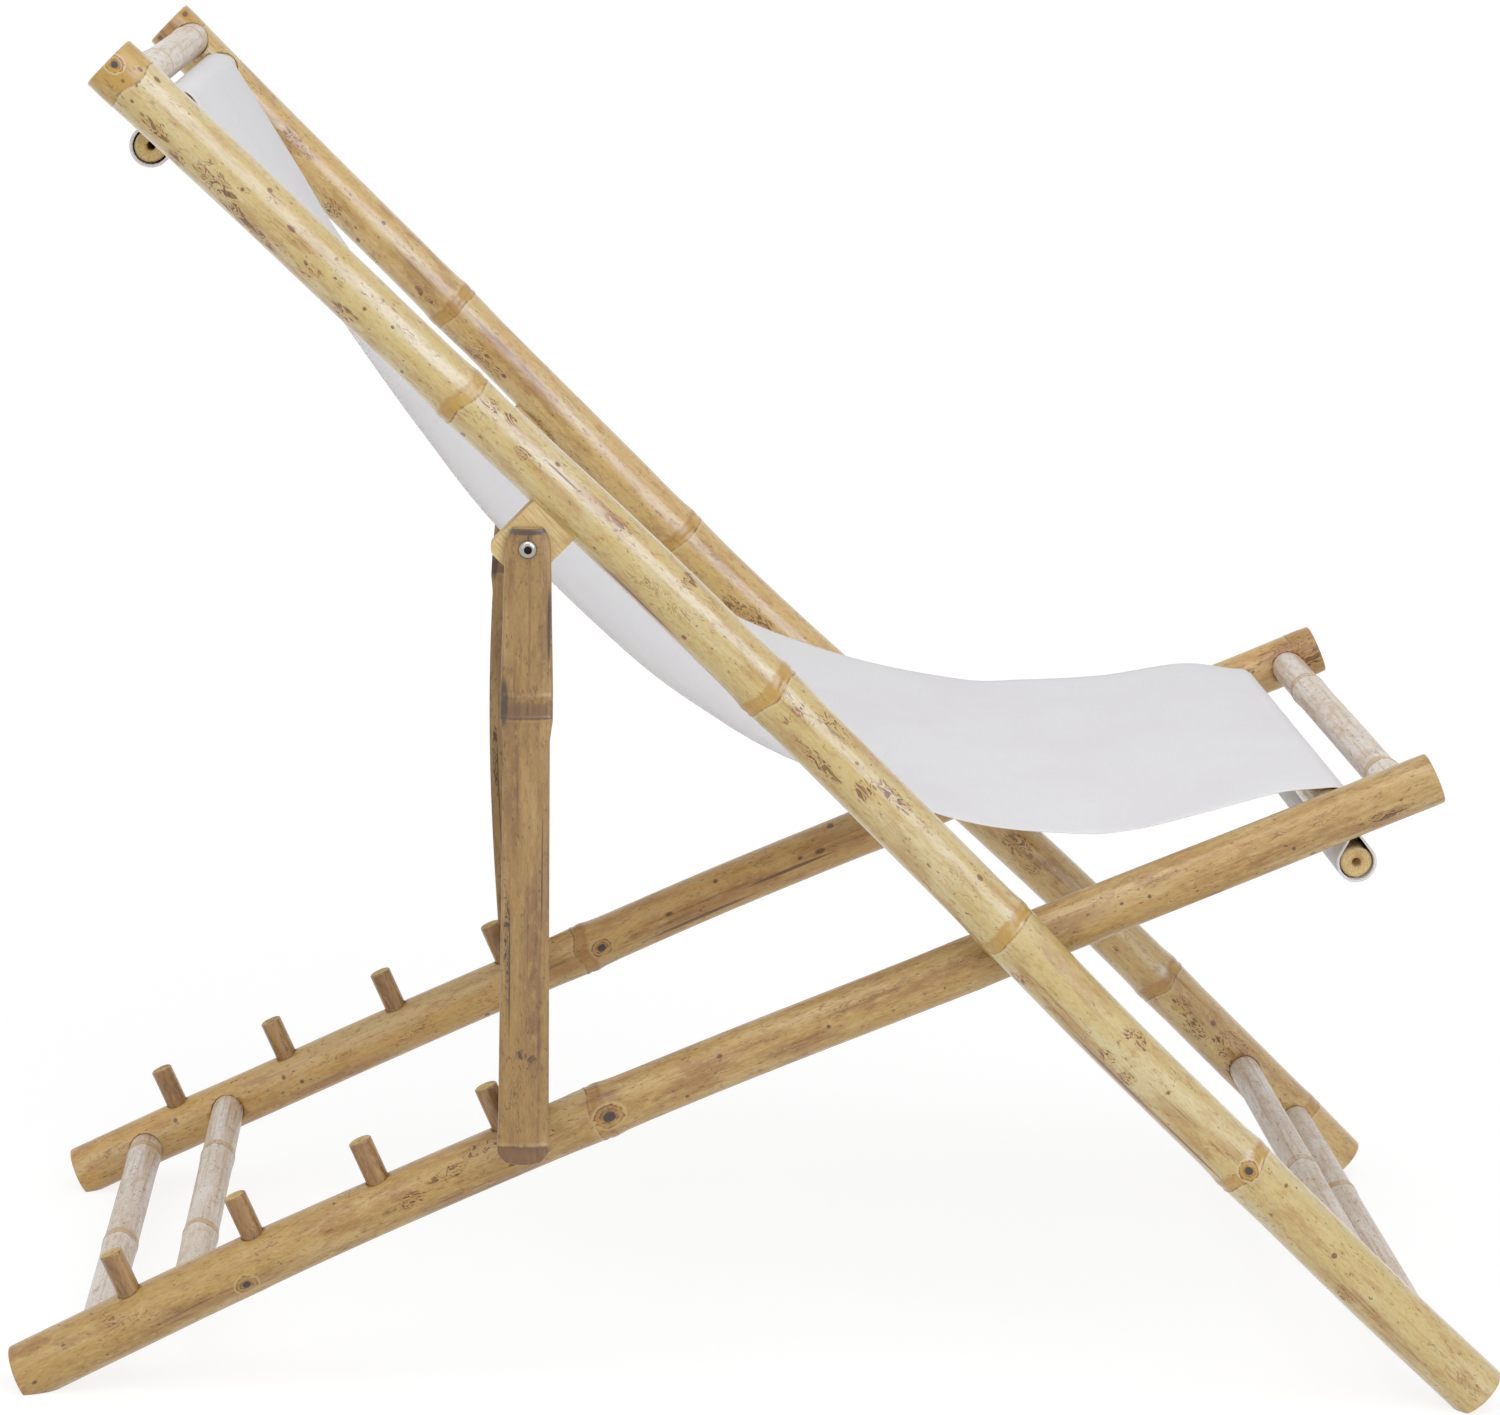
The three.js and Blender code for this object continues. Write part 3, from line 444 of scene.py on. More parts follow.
def along_pole(rows, length, factor=1.0):
    """A smooth function of the place along a pole, from rows of share of its length and value: a cubic
    between neighbours, with slopes taken from the rows on either side."""
    x, y = np.array([(share * length, value) for share, value in rows], float).T
    slope = np.gradient(y, x)

    def value(s):
        s = np.clip(s, x[0], x[-1])
        i = np.clip(np.searchsorted(x, s, side="right") - 1, 0, len(x) - 2)
        step = x[i + 1] - x[i]
        t = (s - x[i]) / step
        return factor * ((2 * t ** 3 - 3 * t ** 2 + 1) * y[i] + (t ** 3 - 2 * t ** 2 + t) * step * slope[i]
                         + (3 * t ** 2 - 2 * t ** 3) * y[i + 1] + (t ** 3 - t ** 2) * step * slope[i + 1])
    return value


def culm(name, origin, along, up, out, length, radius, nodes, materials, seed, bow=np.zeros_like,
         girth=np.ones_like, tip=1.0, swell=0.0018, sides=80, hollow=0.0045, recess=0.012, ease=0.002):
    """A bent culm. Its radius at a place is the plain one times its girth, a little oval, plus at each node
    a thin ledge, a groove above it and a broad ridge. The node's line dips at its bud.
    nodes: rows of place along, bud's angle from up to out in degrees, and share of the swelling.
    bow and girth: functions of the place along. tip: -1 where the culm grew against its axis."""
    painted_share, end_reach, end_band = 0.25, 0.03, 0.005
    phase = np.random.default_rng(seed).uniform(0, 2 * np.pi, 3)
    angle = np.arange(sides) * 2 * np.pi / sides
    S, T = np.meshgrid(rings_along(length, [row[0] for row in nodes]), angle, indexing="ij")
    oval = 0.012 * np.cos(2 * T + phase[0]) + 0.006 * np.sin(3 * T + phase[1] + 4 * S)
    rho = radius * (1 + oval) * girth(S)
    nearest = np.ones(S.shape)
    for place, bud, share in nodes:
        turn = np.angle(np.exp(1j * (T - np.radians(bud))))
        bud_side = bell(turn, 0, 0.5)
        d = (S - place) * tip + 0.0035 * bud_side - 0.0012 * np.cos(turn)
        d = d + 0.0008 * np.sin(5 * T + phase[1]) * bell(d, 0, 0.01)
        ledge = 0.6 + 0.4 * np.sin(3 * T + phase[2])
        form = 0.3 * ledge * bell(d, 0, 0.0012) - 0.15 * bell(d, 0.003, 0.0016)
        form += 0.42 * bell(d, 0.008, 0.006) + 0.4 * bell(d, 0, 0.02)
        flat = 0.5 * bud_side * bell(d, 0.045, 0.03)
        rho = rho + swell * share * (form - flat)
        if share < painted_share:
            continue
        if min(place, length - place) < end_reach:
            d = np.minimum(d, end_band)
        nearest = np.where(np.abs(d) < np.abs(nearest), d, nearest)
    rho = rho - 0.8 * ease * rounding(1 - np.minimum(S, length - S) / ease)

    # Each end has two rings on its sawn face and a narrow bore with a floor
    depth = np.repeat([[recess], [0.0], [0.0], [0.0]], sides, 1)
    bore = np.full(sides, hollow)
    first, last = (np.array([bore, bore, rim * 0.55, rim * 0.85]) for rim in (rho[0], rho[-1]))
    S = np.concatenate([depth, S, length - depth[::-1]])
    rho = np.concatenate([first, rho, last[::-1]])
    nearest = np.pad(nearest, ((4, 4), (0, 0)), constant_values=1.0)
    local_up, local_out = rho * np.cos(angle), rho * np.sin(angle)
    grid = origin + S[..., None] * along + (bow(S) + local_up)[..., None] * up + local_out[..., None] * out
    ends = np.array([recess, length - recess])
    middles = origin + ends[:, None] * along + bow(ends)[:, None] * up
    maps = {"place": (S, local_up, np.stack([ends, np.zeros(2)], 1)),
            "node": (local_out, nearest, np.ones((2, 2)))}
    slots = [1] * 5 + [0] * (len(S) - 9) + [1] * 5
    return tube(name, grid, middles, maps, slots, materials, np.dot(np.cross(up, out), along) < 0)


def carry(obj, body, slot, *nodes):
    """obj rides on a body and stands for these CAD nodes. slot is not used."""
    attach(obj, body)
    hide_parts(*nodes)
    return obj


# Back poles
# Two straw-coloured culms, 43 mm thick and 1.4 m long, tips up. The rails' tenons and the ears are let in.
back_half = 0.283
back_radius = 0.0215
head_reach = 0.925
back_length = 1.411607
back_rises = {
    "right": [(0, -0.18), (0.08, 0.08), (0.16, 0.22), (0.25, 0.33), (0.36, 0.6), (0.45, 0.57), (0.54, 0.4),
        (0.62, 0.22), (0.71, -0.12), (0.82, -0.2), (0.93, -0.24), (1, -0.08)],
    "left": [(0, -0.44), (0.1, -0.64), (0.2, -0.74), (0.26, -0.85), (0.317, -0.98), (0.37, -1.14),
        (0.43, -1.28), (0.5, -1.14), (0.56, -0.78), (0.66, -0.1), (0.75, 0.27), (0.9, 0.22), (1, 0.06)],
}
back_girths = {
    "right": [(0, 0.97), (0.12, 0.935), (0.22, 0.93), (0.34, 0.985), (0.5, 1), (0.75, 1), (1, 1.015)],
    "left": [(0, 0.97), (0.2, 0.95), (0.3, 0.965), (0.38, 1.03), (0.47, 1.03), (0.6, 0.99), (0.75, 1),
        (1, 1.03)],
}
back_nodes = {
    "right": [(0.0225, 60.0, 0.3), (0.343, 50.0, 0.9), (0.648, 95.0, 1.2), (0.898, 120.0, 1.0),
        (1.156, 88.0, 1.0)],
    "left": [(0.020, 200.0, 0.3), (0.333, 250.0, 1.0), (0.604, 60.0, 1.0), (0.891, 240.0, 1.0),
        (1.180, 80.0, 0.9), (1.357, 200.0, 0.5)],
}
back_rails = {"head_rail": (0.023, 0.0135), "head_sling_bar": (0.057, 0.013),
              "foot_rail_upper": (1.283607, 0.0128), "foot_rail_lower": (1.348607, 0.0128)}
back_scars_and_shade = {
    "right": {
        "Scribble": [(56, -9.8, 19, 7), (79, -15.8, 10, 6), (111, -9.1, 27, 11), (132, -13.6, 12, 6),
            (153, -16.1, 27, 5), (238, -13.6, 16, 7), (355, 11.6, 12, 6), (373, 13.6, 9, 4),
            (400, 3, 15, 5), (477, 12.3, 18, 6), (666, 6, 7, 14), (692, 16.4, 27, 7), (704, -9.3, 33, 6),
            (742, 0.8, 12, 9), (762, 11.6, 25, 6), (926, -17.8, 10, 7), (1018, 13.1, 16, 7),
            (1014, -10.7, 13, 6), (1037, -13, 10, 6), (1272, -14.7, 15, 6), (198, -8.6, 12, 7),
            (545, 17.3, 10, 6)],
        "Stain": [(177, 0.7, 36, 7), (466, -11.2, 37, 7), (432, -0.2, 44, 6), (461, 11.6, 34, 6),
            (672, 1.5, 22, 7), (959, -12.7, 60, 7), (1100, -6.5, 50, 12), (1302, -11.8, 90, 10),
            # The stains at 520 mm and 1040 mm, about 18 mm under the middle, run along the lower edge: brown
            # stain with painted shade of the pole's lower side.
            (932, 11.3, 30, 6), (737, 20, 44, 10), (1138, 1.9, 37, 9), (520, -18, 60, 4),
            (1040, -18.5, 110, 3.5)],
        "Spot": [(20, 13.3, 3, 1.5), (33, 15.9, 4, 1.5), (17, -0.3, 2, 1.5), (31, -6.5, 2, 1.5),
            (121, -8.9, 5, 2), (170, 4.4, 5, 2), (268, 3.5, 2, 1.5), (295, -15.4, 2, 1.5),
            (571, -14.2, 3, 2), (850, 14, 4, 2), (1065, 2, 2, 2), (1181, 13.5, 2, 2), (1245, 1.8, 3, 3),
            (419, 13.2, 3, 1.5), (357, -18.3, 3, 2), (127, 1, 2, 2), (141, 13.3, 3, 2), (245, -0.8, 2, 2),
            # The next three spots are long thin lines along the lower edge: painted shade of the pole's lower
            # side, with brown stain.
            (528, -18.6, 50, 1.3), (1032, -18, 62, 1.3), (1110, -17.4, 46, 1.2), (428, 9.7, 22, 1)],
        "Eye": [(5, 4, 9, 8), (1151, 2.4, 11, 10)],
    },
    "left": {
        "Scribble": [(141, 6, 22, 12), (201, -12.8, 12, 10), (254, -17, 10, 7), (305, -7.2, 15, 7),
            (350, -20, 12, 7), (378, -11.7, 26, 10), (448, -19, 26, 10), (680, -8.9, 26, 12),
            (699, -4.3, 34, 9), (997, 0.9, 20, 12), (1016, -5.5, 17, 9), (1226, -6, 17, 10),
            (1254, 3.6, 17, 17), (1272, -2.4, 20, 14), (1268, 4, 14, 18), (1200, 0.1, 17, 9)],
        "Stain": [(10, 0, 20, 24), (141, 6, 34, 17), (399, 3, 77, 14), (717, -9.7, 68, 17),
            (1032, 3.6, 77, 17), (1216, 9.3, 68, 14), (299, -1.1, 68, 10), (1275, 4, 26, 18)],
        "Spot": [(4, -12, 3, 3), (5, 16, 3, 3), (234, -15.3, 3, 2), (239, 10.3, 3, 2), (399, -9, 3, 2),
            (1233, 7.6, 4, 3), (1220, -4.7, 3, 2)],
    },
}

back_tones = {"right": straw, "left": khaki}

tenon_gap = 0.0004
bore_start = 0.004
bore_past = 0.001
back_bolt_bore = 0.0043


def tenon_bore(middle, side, pole_radius, radius):
    """A cutter for a rail's end, from inside the chair to just past the pole's middle."""
    return (middle - side * (pole_radius + bore_start) * across, middle + side * bore_past * across,
            radius + tenon_gap)


def floor_cut(place):
    """A cutter below a pole's foot, which leaves it sawn flat on the floor."""
    floor_point = np.array([place[0], place[1], 0.0])
    return floor_point, floor_point - [0.0, 0.0, 0.05], 0.08


for hand, side in hands.items():
    material = bamboo("straw_bamboo_" + hand, back_tones[hand], back_radius, specks=0.025, seed=1.0 + side,
                      scars=back_scars_and_shade[hand])
    start = crossing + side * back_half * across - head_reach * back_along
    pole = culm("bamboo_back_pole_" + hand, start, back_along, back_up, towards_camera, back_length,
                back_radius, back_nodes[hand], [material, end_grain],
                bow=along_pole(back_rises[hand], back_length, 0.01),
                girth=along_pole(back_girths[hand], back_length), tip=-1.0, seed=11 + int(side))
    cutters = [tenon_bore(start + place * back_along, side, back_radius, radius)
               for place, radius in back_rails.values()]
    pin = start + head_reach * back_along
    bolt_bore = (pin - side * (back_radius + bore_start) * across, pin + side * bore_start * across,
                 back_bolt_bore)
    bored(pole, [*cutters, bolt_bore, floor_cut(start + back_length * back_along)])
    carry(pole, "back_frame", "straw_bamboo", "back_pole_" + hand)

# Seat poles
# Two browner culms, 40 mm thick and 1.15 m long, tips to the front, inside the back poles.
seat_half = 0.2385
seat_radius = 0.02
rear_reach = 0.821
seat_length = 1.148
seat_rises = {
    "right": [(0, -0.83), (0.06, -0.43), (0.14, 0.05), (0.22, 0.36), (0.3, 0.53), (0.4, 0.61), (0.5, 0.54),
        (0.66, 0.12), (0.78, -0.07), (0.88, -0.32), (1, -0.55)],
    "left": [(0, -0.4), (0.07, -0.14), (0.14, -0.02), (0.24, 0.25), (0.42, 0.53), (0.52, 0.68),
        (0.64, 0.56), (0.8, 0.32), (0.9, 0.12), (1, -0.08)],
}
seat_girths = {
    "right": [(0, 1.12), (0.12, 1.1), (0.22, 1.04), (0.36, 1.02), (0.5, 1), (0.8, 1), (0.9, 0.975),
        (1, 0.97)],
    "left": [(0, 1.05), (0.3, 1.04), (0.45, 1.005), (1, 1)],
}
seat_nodes = {
    "right": [(0.186, 60.0, 0.24), (0.475, 88.0, 1.0), (0.768, 60.0, 0.24), (1.128, 200.0, 0.2)],
    "left": [(0.087, 70.0, 0.24), (0.470, 80.0, 1.1), (0.752, 100.0, 0.9), (1.128, 220.0, 0.5)],
}
seat_rails = {"seat_front_rail": (1.118, 0.0135), "seat_sling_bar": (1.071, 0.0145),
              "rear_rail_inner": (0.141, 0.0135), "rear_rail_outer": (0.064, 0.0135)}
rail_tilts = {"seat_sling_bar": 0.004}
peg_places = [0.409, 0.3065, 0.204, 0.1015]
peg_hole_radius, peg_hole_depth, peg_cutter = 0.0092, 0.0265, 0.034
seat_bolt_bore = 0.0046
washer_face, washer_seat = 0.0184, 0.0106
spacer_face, spacer_seat = 0.02, 0.0097
seat_scars = {
    "right": {
        "Scribble": [(1102, -7.4, 24, 5), (490, 3.2, 7, 7), (360, 7.9, 18, 6), (328, 0.9, 15, 7),
            (389, 14, 22, 5), (83, 11.6, 6, 5), (420, -6, 22, 4)],
        "Stain": [(486, 12.1, 22, 12), (378, -14.4, 81, 10), (997, -3.2, 67, 7), (842, 6.5, 67, 10),
            (723, 6.1, 89, 9), (154, -6.7, 104, 9), (562, 2.5, 44, 9), (639, -4.7, 44, 9)],
        "Spot": [(1042, -15.8, 3, 2), (1030, -4.7, 2, 2), (918, 2, 2, 2), (897, 4.8, 2, 1.5),
            (662, 0.6, 2, 2), (579, 9.5, 3, 2), (545, -9.7, 2, 1.5), (13, -4, 3, 2)],
        "Eye": [(188, -6.8, 12, 10), (486, -0.5, 16, 12)],
    },
    "left": {
        "Scribble": [(1121, 13.1, 34, 12), (1139, 2.3, 12, 17)],
        "Stain": [(452, -3.1, 51, 12), (581, -1.9, 102, 14), (695, 6.6, 68, 12), (243, -12, 77, 9),
            (1125, 11.8, 43, 17)],
        "Spot": [(709, 17.3, 4, 2), (693, 2.8, 6, 2.5), (675, 3.7, 3, 2), (97, 11.1, 2.5, 2.5),
            (197, 7.7, 2.5, 2.5), (210, -1.6, 2.5, 2.5), (601, 12.3, 3, 2), (554, 3.2, 4, 2),
            (377, -15.4, 3, 2), (664, -1.9, 48, 1.8), (578, -10.7, 60, 2)],
        "Eye": [(490, -0.5, 12, 10)],
    },
}
seat_tones = {"right": brown, "left": {**brown, "Base": linear(197, 157, 88), "Deep": linear(158, 108, 50)}}
seat_rise = {hand: along_pole(seat_rises[hand], seat_length, 0.01) for hand in hands}
seat_girth = {hand: along_pole(seat_girths[hand], seat_length) for hand in hands}


def middle_rise(s):
    """Height of the rails over the seat poles' chord: the mean of both bows."""
    return (seat_rise["right"](s) + seat_rise["left"](s)) / 2


def peg_foot(hand, place, depth):
    """The point at a depth under the top of a seat pole."""
    top = seat_rise[hand](place) + seat_radius * seat_girth[hand](place)
    start = crossing + hands[hand] * seat_half * across - rear_reach * seat_along
    return start + place * seat_along + (top - depth) * seat_up


for hand, side in hands.items():
    material = bamboo("brown_bamboo_" + hand, seat_tones[hand], seat_radius, specks=0.015, seed=4.0 + side,
                      gloss=0.75, scars=seat_scars[hand])
    start = crossing + side * seat_half * across - rear_reach * seat_along
    pole = culm("bamboo_seat_pole_" + hand, start, seat_along, seat_up, towards_camera, seat_length,
                seat_radius, seat_nodes[hand], [material, end_grain], bow=seat_rise[hand],
                girth=seat_girth[hand], seed=21 + int(side))
    cutters = []
    for name, (place, radius) in seat_rails.items():
        lift = side * rail_tilts.get(name, 0.0) / 2
        middle = start + place * seat_along + (middle_rise(place) + lift) * seat_up
        cutters.append(tenon_bore(middle, side, seat_radius, radius))
    for place in peg_places:
        foot = peg_foot(hand, place, peg_hole_depth)
        cutters.append((foot, foot + peg_cutter * seat_up, peg_hole_radius))
    pin = start + rear_reach * seat_along
    inside, outside = pin - side * 0.03 * across, pin + side * 0.03 * across
    cutters += [(inside, outside, seat_bolt_bore), floor_cut(start)]
    bored(bored(pole, cutters), [(inside, pin - side * washer_face * across, washer_seat),
                                 (outside, pin + side * spacer_face * across, spacer_seat)])
    carry(pole, "seat_frame", "brown_bamboo", "seat_pole_" + hand)

# Rails, bars and prop bar
# Slimmer culms across the frames, their ends inside the poles. Six are bleached, two bars and the prop's are
# not. Rows of nodes: share of the length, and the bud's angle.
rail_nodes = {
    "head_rail": [(0.3, 40.0), (0.86, 100.0)],
    "head_sling_bar": [(0.42, 90.0)],
    "foot_rail_upper": [(0.45, 200.0)],
    "foot_rail_lower": [(0.58, 300.0)],
    "seat_front_rail": [(0.09, 60.0), (0.75, 60.0)],
    "seat_sling_bar": [(0.55, 90.0)],
    "rear_rail_inner": [(0.26, 60.0), (0.68, 60.0)],
    "rear_rail_outer": [(0.42, 60.0), (0.9, 60.0)],
}
rail_scars = {"Stain": [(470, 0, 60, 18), (430, 8, 90, 6), (60, -4, 50, 9)]}
rail_kind = (bleached, "bleached_bamboo", 0.55, rail_scars)
bar_kinds = {"head_sling_bar": (straw, "straw_bamboo", 1.0, {}),
             "seat_sling_bar": (brown, "brown_bamboo", 1.0, {})}


def cross_culm(name, body, slot, middle, up, half, radius, shares, material, seed):
    """A culm across the chair from the sitter's right to the left, which may rise by its tilt."""
    tilt = rail_tilts.get(name, 0.0)
    length = 2 * half
    made = culm("bamboo_" + name, middle - half * across, across, up, np.cross(across, up), length, radius,
                [(length * share, bud, 0.75) for share, bud in shares], [material, end_grain],
                bow=lambda s: tilt * (s / length - 0.5), swell=0.0014, sides=56, hollow=0.003, seed=seed)
    carry(made, body, slot, name)


for number, (name, shares) in enumerate(rail_nodes.items()):
    tones, slot, gloss, scars = bar_kinds.get(name, rail_kind)
    material = bamboo("bamboo_of_" + name, tones, 0.0135, seed=8.0 + number, gloss=gloss, scars=scars)
    if name in back_rails:
        place, radius = back_rails[name]
        middle = crossing + (place - head_reach) * back_along
        where = ("back_frame", slot, middle, back_up, back_half, radius)
    else:
        place, radius = seat_rails[name]
        middle = crossing + (place - rear_reach) * seat_along + middle_rise(place) * seat_up
        where = ("seat_frame", slot, middle, seat_up, seat_half, radius)
    cross_culm(name, *where, shares, material, 31 + number)

prop_reach = 0.42499
strip_face = back_half + 0.0103
cross_culm("prop_cross_bar", "prop_frame", "brown_bamboo", prop_pivot + prop_reach * prop_down, prop_front,
           strip_face + 0.005, 0.013, [(0.2, 60.0), (0.63, 200.0)],
           bamboo("bamboo_of_prop_bar", brown, seed=17.0), 41)

# Pegs
# Short dowels of brown culm, square to the seat poles, with sawn tops.
peg_radius = 0.0088
peg_length = 0.0585
peg_depth = 0.026
stained_pegs = [("right", 1), ("left", 1), ("left", 4)]
for hand, side in hands.items():
    for number, place in enumerate(peg_places, 1):
        scars = {"Stain": [(44, 2, 18, 6)]} if (hand, number) in stained_pegs else {}
        name = "peg_%s_%d" % (hand, number)
        material = bamboo("bamboo_of_" + name, peg_wood, peg_radius, seed=20.0 + number + side, gloss=0.9,
                          scars=scars)
        peg = culm("bamboo_" + name, peg_foot(hand, place, peg_depth), seat_up, seat_along, towards_camera,
                   peg_length, peg_radius, [], [material, pale_grain], sides=40, hollow=0.0008, recess=0.001,
                   ease=0.0012, seed=50 + number + int(side))
        carry(peg, "seat_frame", "brown_bamboo", name)


# Prop strips
# Split from a wide culm: flat inside, crowned outside, with a node near the ears and a thick one at the foot.
strip_width = 0.033
strip_thickness = 0.011
strip_crown = 0.0022
strip_head = 0.0145
strip_length = strip_head + prop_reach + 0.032
strip_node = 0.277
strip_outline = np.array([[0, 0.66], [0.012, 0.9], [0.03, 1], [0.25, 1.14], [0.297, 1.14], [0.327, 1.02],
                          [0.6, 1.06], [0.93, 1.12], [0.965, 1.16], [0.982, 1.12], [0.991, 0.99],
                          [0.997, 0.8], [1, 0.55]])
strip_foot = 0.0135


def strip(name, side, bow, cut, front, material):
    """A split strip. Its section is flat inside and a shallow arc outside; its half width follows an outline
    down its length; node ridges stand a millimetre proud. cut is taken off its head, and front is the most
    that it reaches to the front, at its head, 75 mm and 130 mm down."""
    length = strip_length
    node, foot = strip_node * length, length - strip_foot
    marks = [np.arange(0, length, 0.004), np.linspace(0, 0.004, 6), np.linspace(length - 0.004, length, 6)]
    marks += [np.arange(place - 0.012, min(place + 0.012, length), 0.0008) for place in (node, foot)]
    s = np.unique(np.round(np.concatenate(marks), 5))
    s = np.append(s[s < length], length)
    s = s[s >= cut]
    half = np.interp(s / length, *strip_outline.T) * strip_width / 2
    ridge = 0.0009 * (bell(s, node - 0.009, 0.002) + bell(s, node + 0.007, 0.002))
    ridge += 0.0012 * bell(s, foot - 0.001, 0.002)
    t = np.linspace(-1, 1, 28)
    round_edge = rounding((np.abs(t) - 0.93) / 0.07)
    outer_y = strip_thickness - strip_crown * t ** 2 - 0.0016 * round_edge + ridge[:, None]
    inner_y = np.broadcast_to(0.0006 * round_edge, outer_y.shape)
    x = half[:, None] * t
    trim = np.minimum(np.interp(s, [0, 0.075, 0.13], front) / half, 1)[:, None]
    x = np.where(x > 0, x * trim, x)
    shrink = 1 - 0.06 * rounding(1 - np.minimum(s - s[0], length - s) / 0.0015)[:, None]
    ring_x = np.concatenate([x, x[:, ::-1]], 1) * shrink
    ring_y = np.concatenate([outer_y, inner_y[:, ::-1]], 1)
    ring_y = strip_thickness / 2 + (ring_y - strip_thickness / 2) * (1 - (1 - shrink) * 1.5)
    S = np.broadcast_to(s[:, None], ring_x.shape)
    drift = bow * np.sin(np.pi * S / length)
    base = prop_pivot + side * strip_face * across - strip_head * prop_down
    grid = (base + S[..., None] * prop_down + (ring_x + drift)[..., None] * prop_front
            + (side * ring_y)[..., None] * across)
    ends = base + s[[0, -1], None] * prop_down + strip_thickness / 2 * side * across
    to_node = np.where(S < 0.6 * length, node + 0.007 - S, np.minimum(S - foot, 0.005))
    maps = {"place": (S, ring_x, np.zeros((2, 2))), "node": (ring_y, to_node, np.ones((2, 2)))}
    return tube(name, grid, ends, maps, [1] + [0] * (len(s) - 1) + [1], [material, end_grain], side > 0)


strip_scars = {
    "Stain": [(6, 0, 5, 22), (120, -14, 34, 9), (131, 0, 9, 24), (300, 4, 60, 8), (462, 0, 12, 26),
        (60, 11, 60, 6), (210, -8, 60, 8), (380, 8, 50, 8), (40, -12, 30, 5)],
    "Scribble": [(388, -3, 5, 6), (391, 6, 4, 4), (300, -13, 40, 3)],
    "Spot": [(2, 0, 3.5, 20), (9, 0, 7, 0.7), (330, -11, 60, 0.8), (250, 12, 50, 0.7), (126, -16.5, 22, 4),
        (70, 15.5, 34, 1.6)],
}
strip_shapes = {"right": (0.0, 0.0, (0.02, 0.02, 0.02)), "left": (-0.012, 0.0065, (0.0085, 0.0125, 0.02))}
strip_tones = palette((152, 118, 60), (172, 140, 86), (120, 84, 42), (98, 62, 34), (54, 32, 16), Streaks=0.6)
for hand, side in hands.items():
    material = bamboo("split_bamboo_" + hand, strip_tones, seed=14.0 + side, gloss=0.85, scars=strip_scars,
                      depth=0.2)
    made = strip("bamboo_prop_strip_" + hand, side, *strip_shapes[hand], material)
    pin = prop_pivot + side * strip_face * across
    foot = pin + prop_reach * prop_down
    bored(made, [(foot - side * bore_start * across, foot + side * 0.0053 * across, 0.0135),
                 (pin - side * bore_start * across, pin + side * 0.02 * across, 0.0036)])
    carry(made, "prop_frame", "brown_bamboo", "prop_strip_" + hand)


# Ears and small hardware
# Ears are pale wooden slabs let into the back poles. Bolts, washers and nuts are zinc-plated steel.
def make_ear_wood():
    """Pale bare wood with fine grain along the slab."""
    material, tree, shader = new_material("ear_wood")
    place = tree.put("TexCoord", output=3)
    turned_place = tree.put("Mapping", {"Vector": place, "Rotation": (0.0, float(back_slope), 0.0)})
    grain = tree.noise(tree.stretched(turned_place, (900.0, 900.0, 60.0)), 1.0, 3.0, 0.6)
    colour = tree.blend(tree.span(grain, 0.4, 0.7), linear(216, 194, 142), linear(192, 160, 104))
    colour = tree.blend(tree.span(tree.noise(place, 60.0, 3.0), 0.5, 0.75), colour, linear(180, 146, 92))
    tree.fill(shader, {"Base Color": colour, "Roughness": 0.7, "Normal": tree.bump(grain, 0.3, 0.0003)})
    return material


def make_metal(name, colour, roughness):
    """Plain metal with a faint cloudy change of roughness."""
    material, tree, shader = new_material(name)
    cloud = tree.noise(tree.put("TexCoord", output=3), 700.0, 3.0)
    tree.fill(shader, {"Base Color": colour, "Metallic": 1.0,
                       "Roughness": tree.span(cloud, 0.3, 0.7, roughness * 0.8, roughness * 1.2)})
    return material


ear_wood = make_ear_wood()
steel = make_metal("zinc_steel", linear(168, 164, 156), 0.24)
# Near-black steel for the bolt sockets: painted shade inside the recess.
socket_shade_steel = make_metal("shadowed_steel", linear(44, 42, 38), 0.5)


def turned(name, origin, axis, outline, slots, materials, sides=48):
    """A form turned about an axis from rows of place along it and radius; the first and last lie on it."""
    outline = np.array(outline)
    body = outline[1:-1, :, None, None]
    grid = origin + body[:, 0] * axis + body[:, 1] * circle_about(axis, sides)
    obj = tube(name, grid, origin + outline[[0, -1], :1] * axis, {}, slots, materials)
    obj.data.set_sharp_from_angle(angle=np.radians(35))
    return obj


# A domed bolt head with a round socket, its shank running inwards. The socket's floor and wall take the
# near-black steel: painted shade in the recess.
shank = 0.0398
bolt_outline = [(0.0022, 0.0), (0.0022, 0.0026), (0.0043, 0.0029), (0.0044, 0.0033), (0.0042, 0.0044),
                (0.0034, 0.0056), (0.0020, 0.0066), (0.0006, 0.0068), (0.0, 0.0067), (0.0, 0.003),
                (-shank + 0.0008, 0.003), (-shank, 0.0024), (-shank, 0.0)]
for hand, side in hands.items():
    head = prop_pivot + side * (strip_face + strip_thickness + 0.0003) * across
    made = turned("steel_prop_bolt_" + hand, head, side * across, bolt_outline, [1, 1] + [0] * 10,
                  [steel, socket_shade_steel])
    carry(made, "back_frame", "steel", "prop_bolt_" + hand)
for name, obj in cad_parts.items():
    finish = ear_wood if name.startswith("prop_ear_") else steel
    if name.startswith(("prop_ear_", "pivot_", "prop_washer", "prop_nut")):
        obj.data.materials.clear()
        obj.data.materials.append(finish)

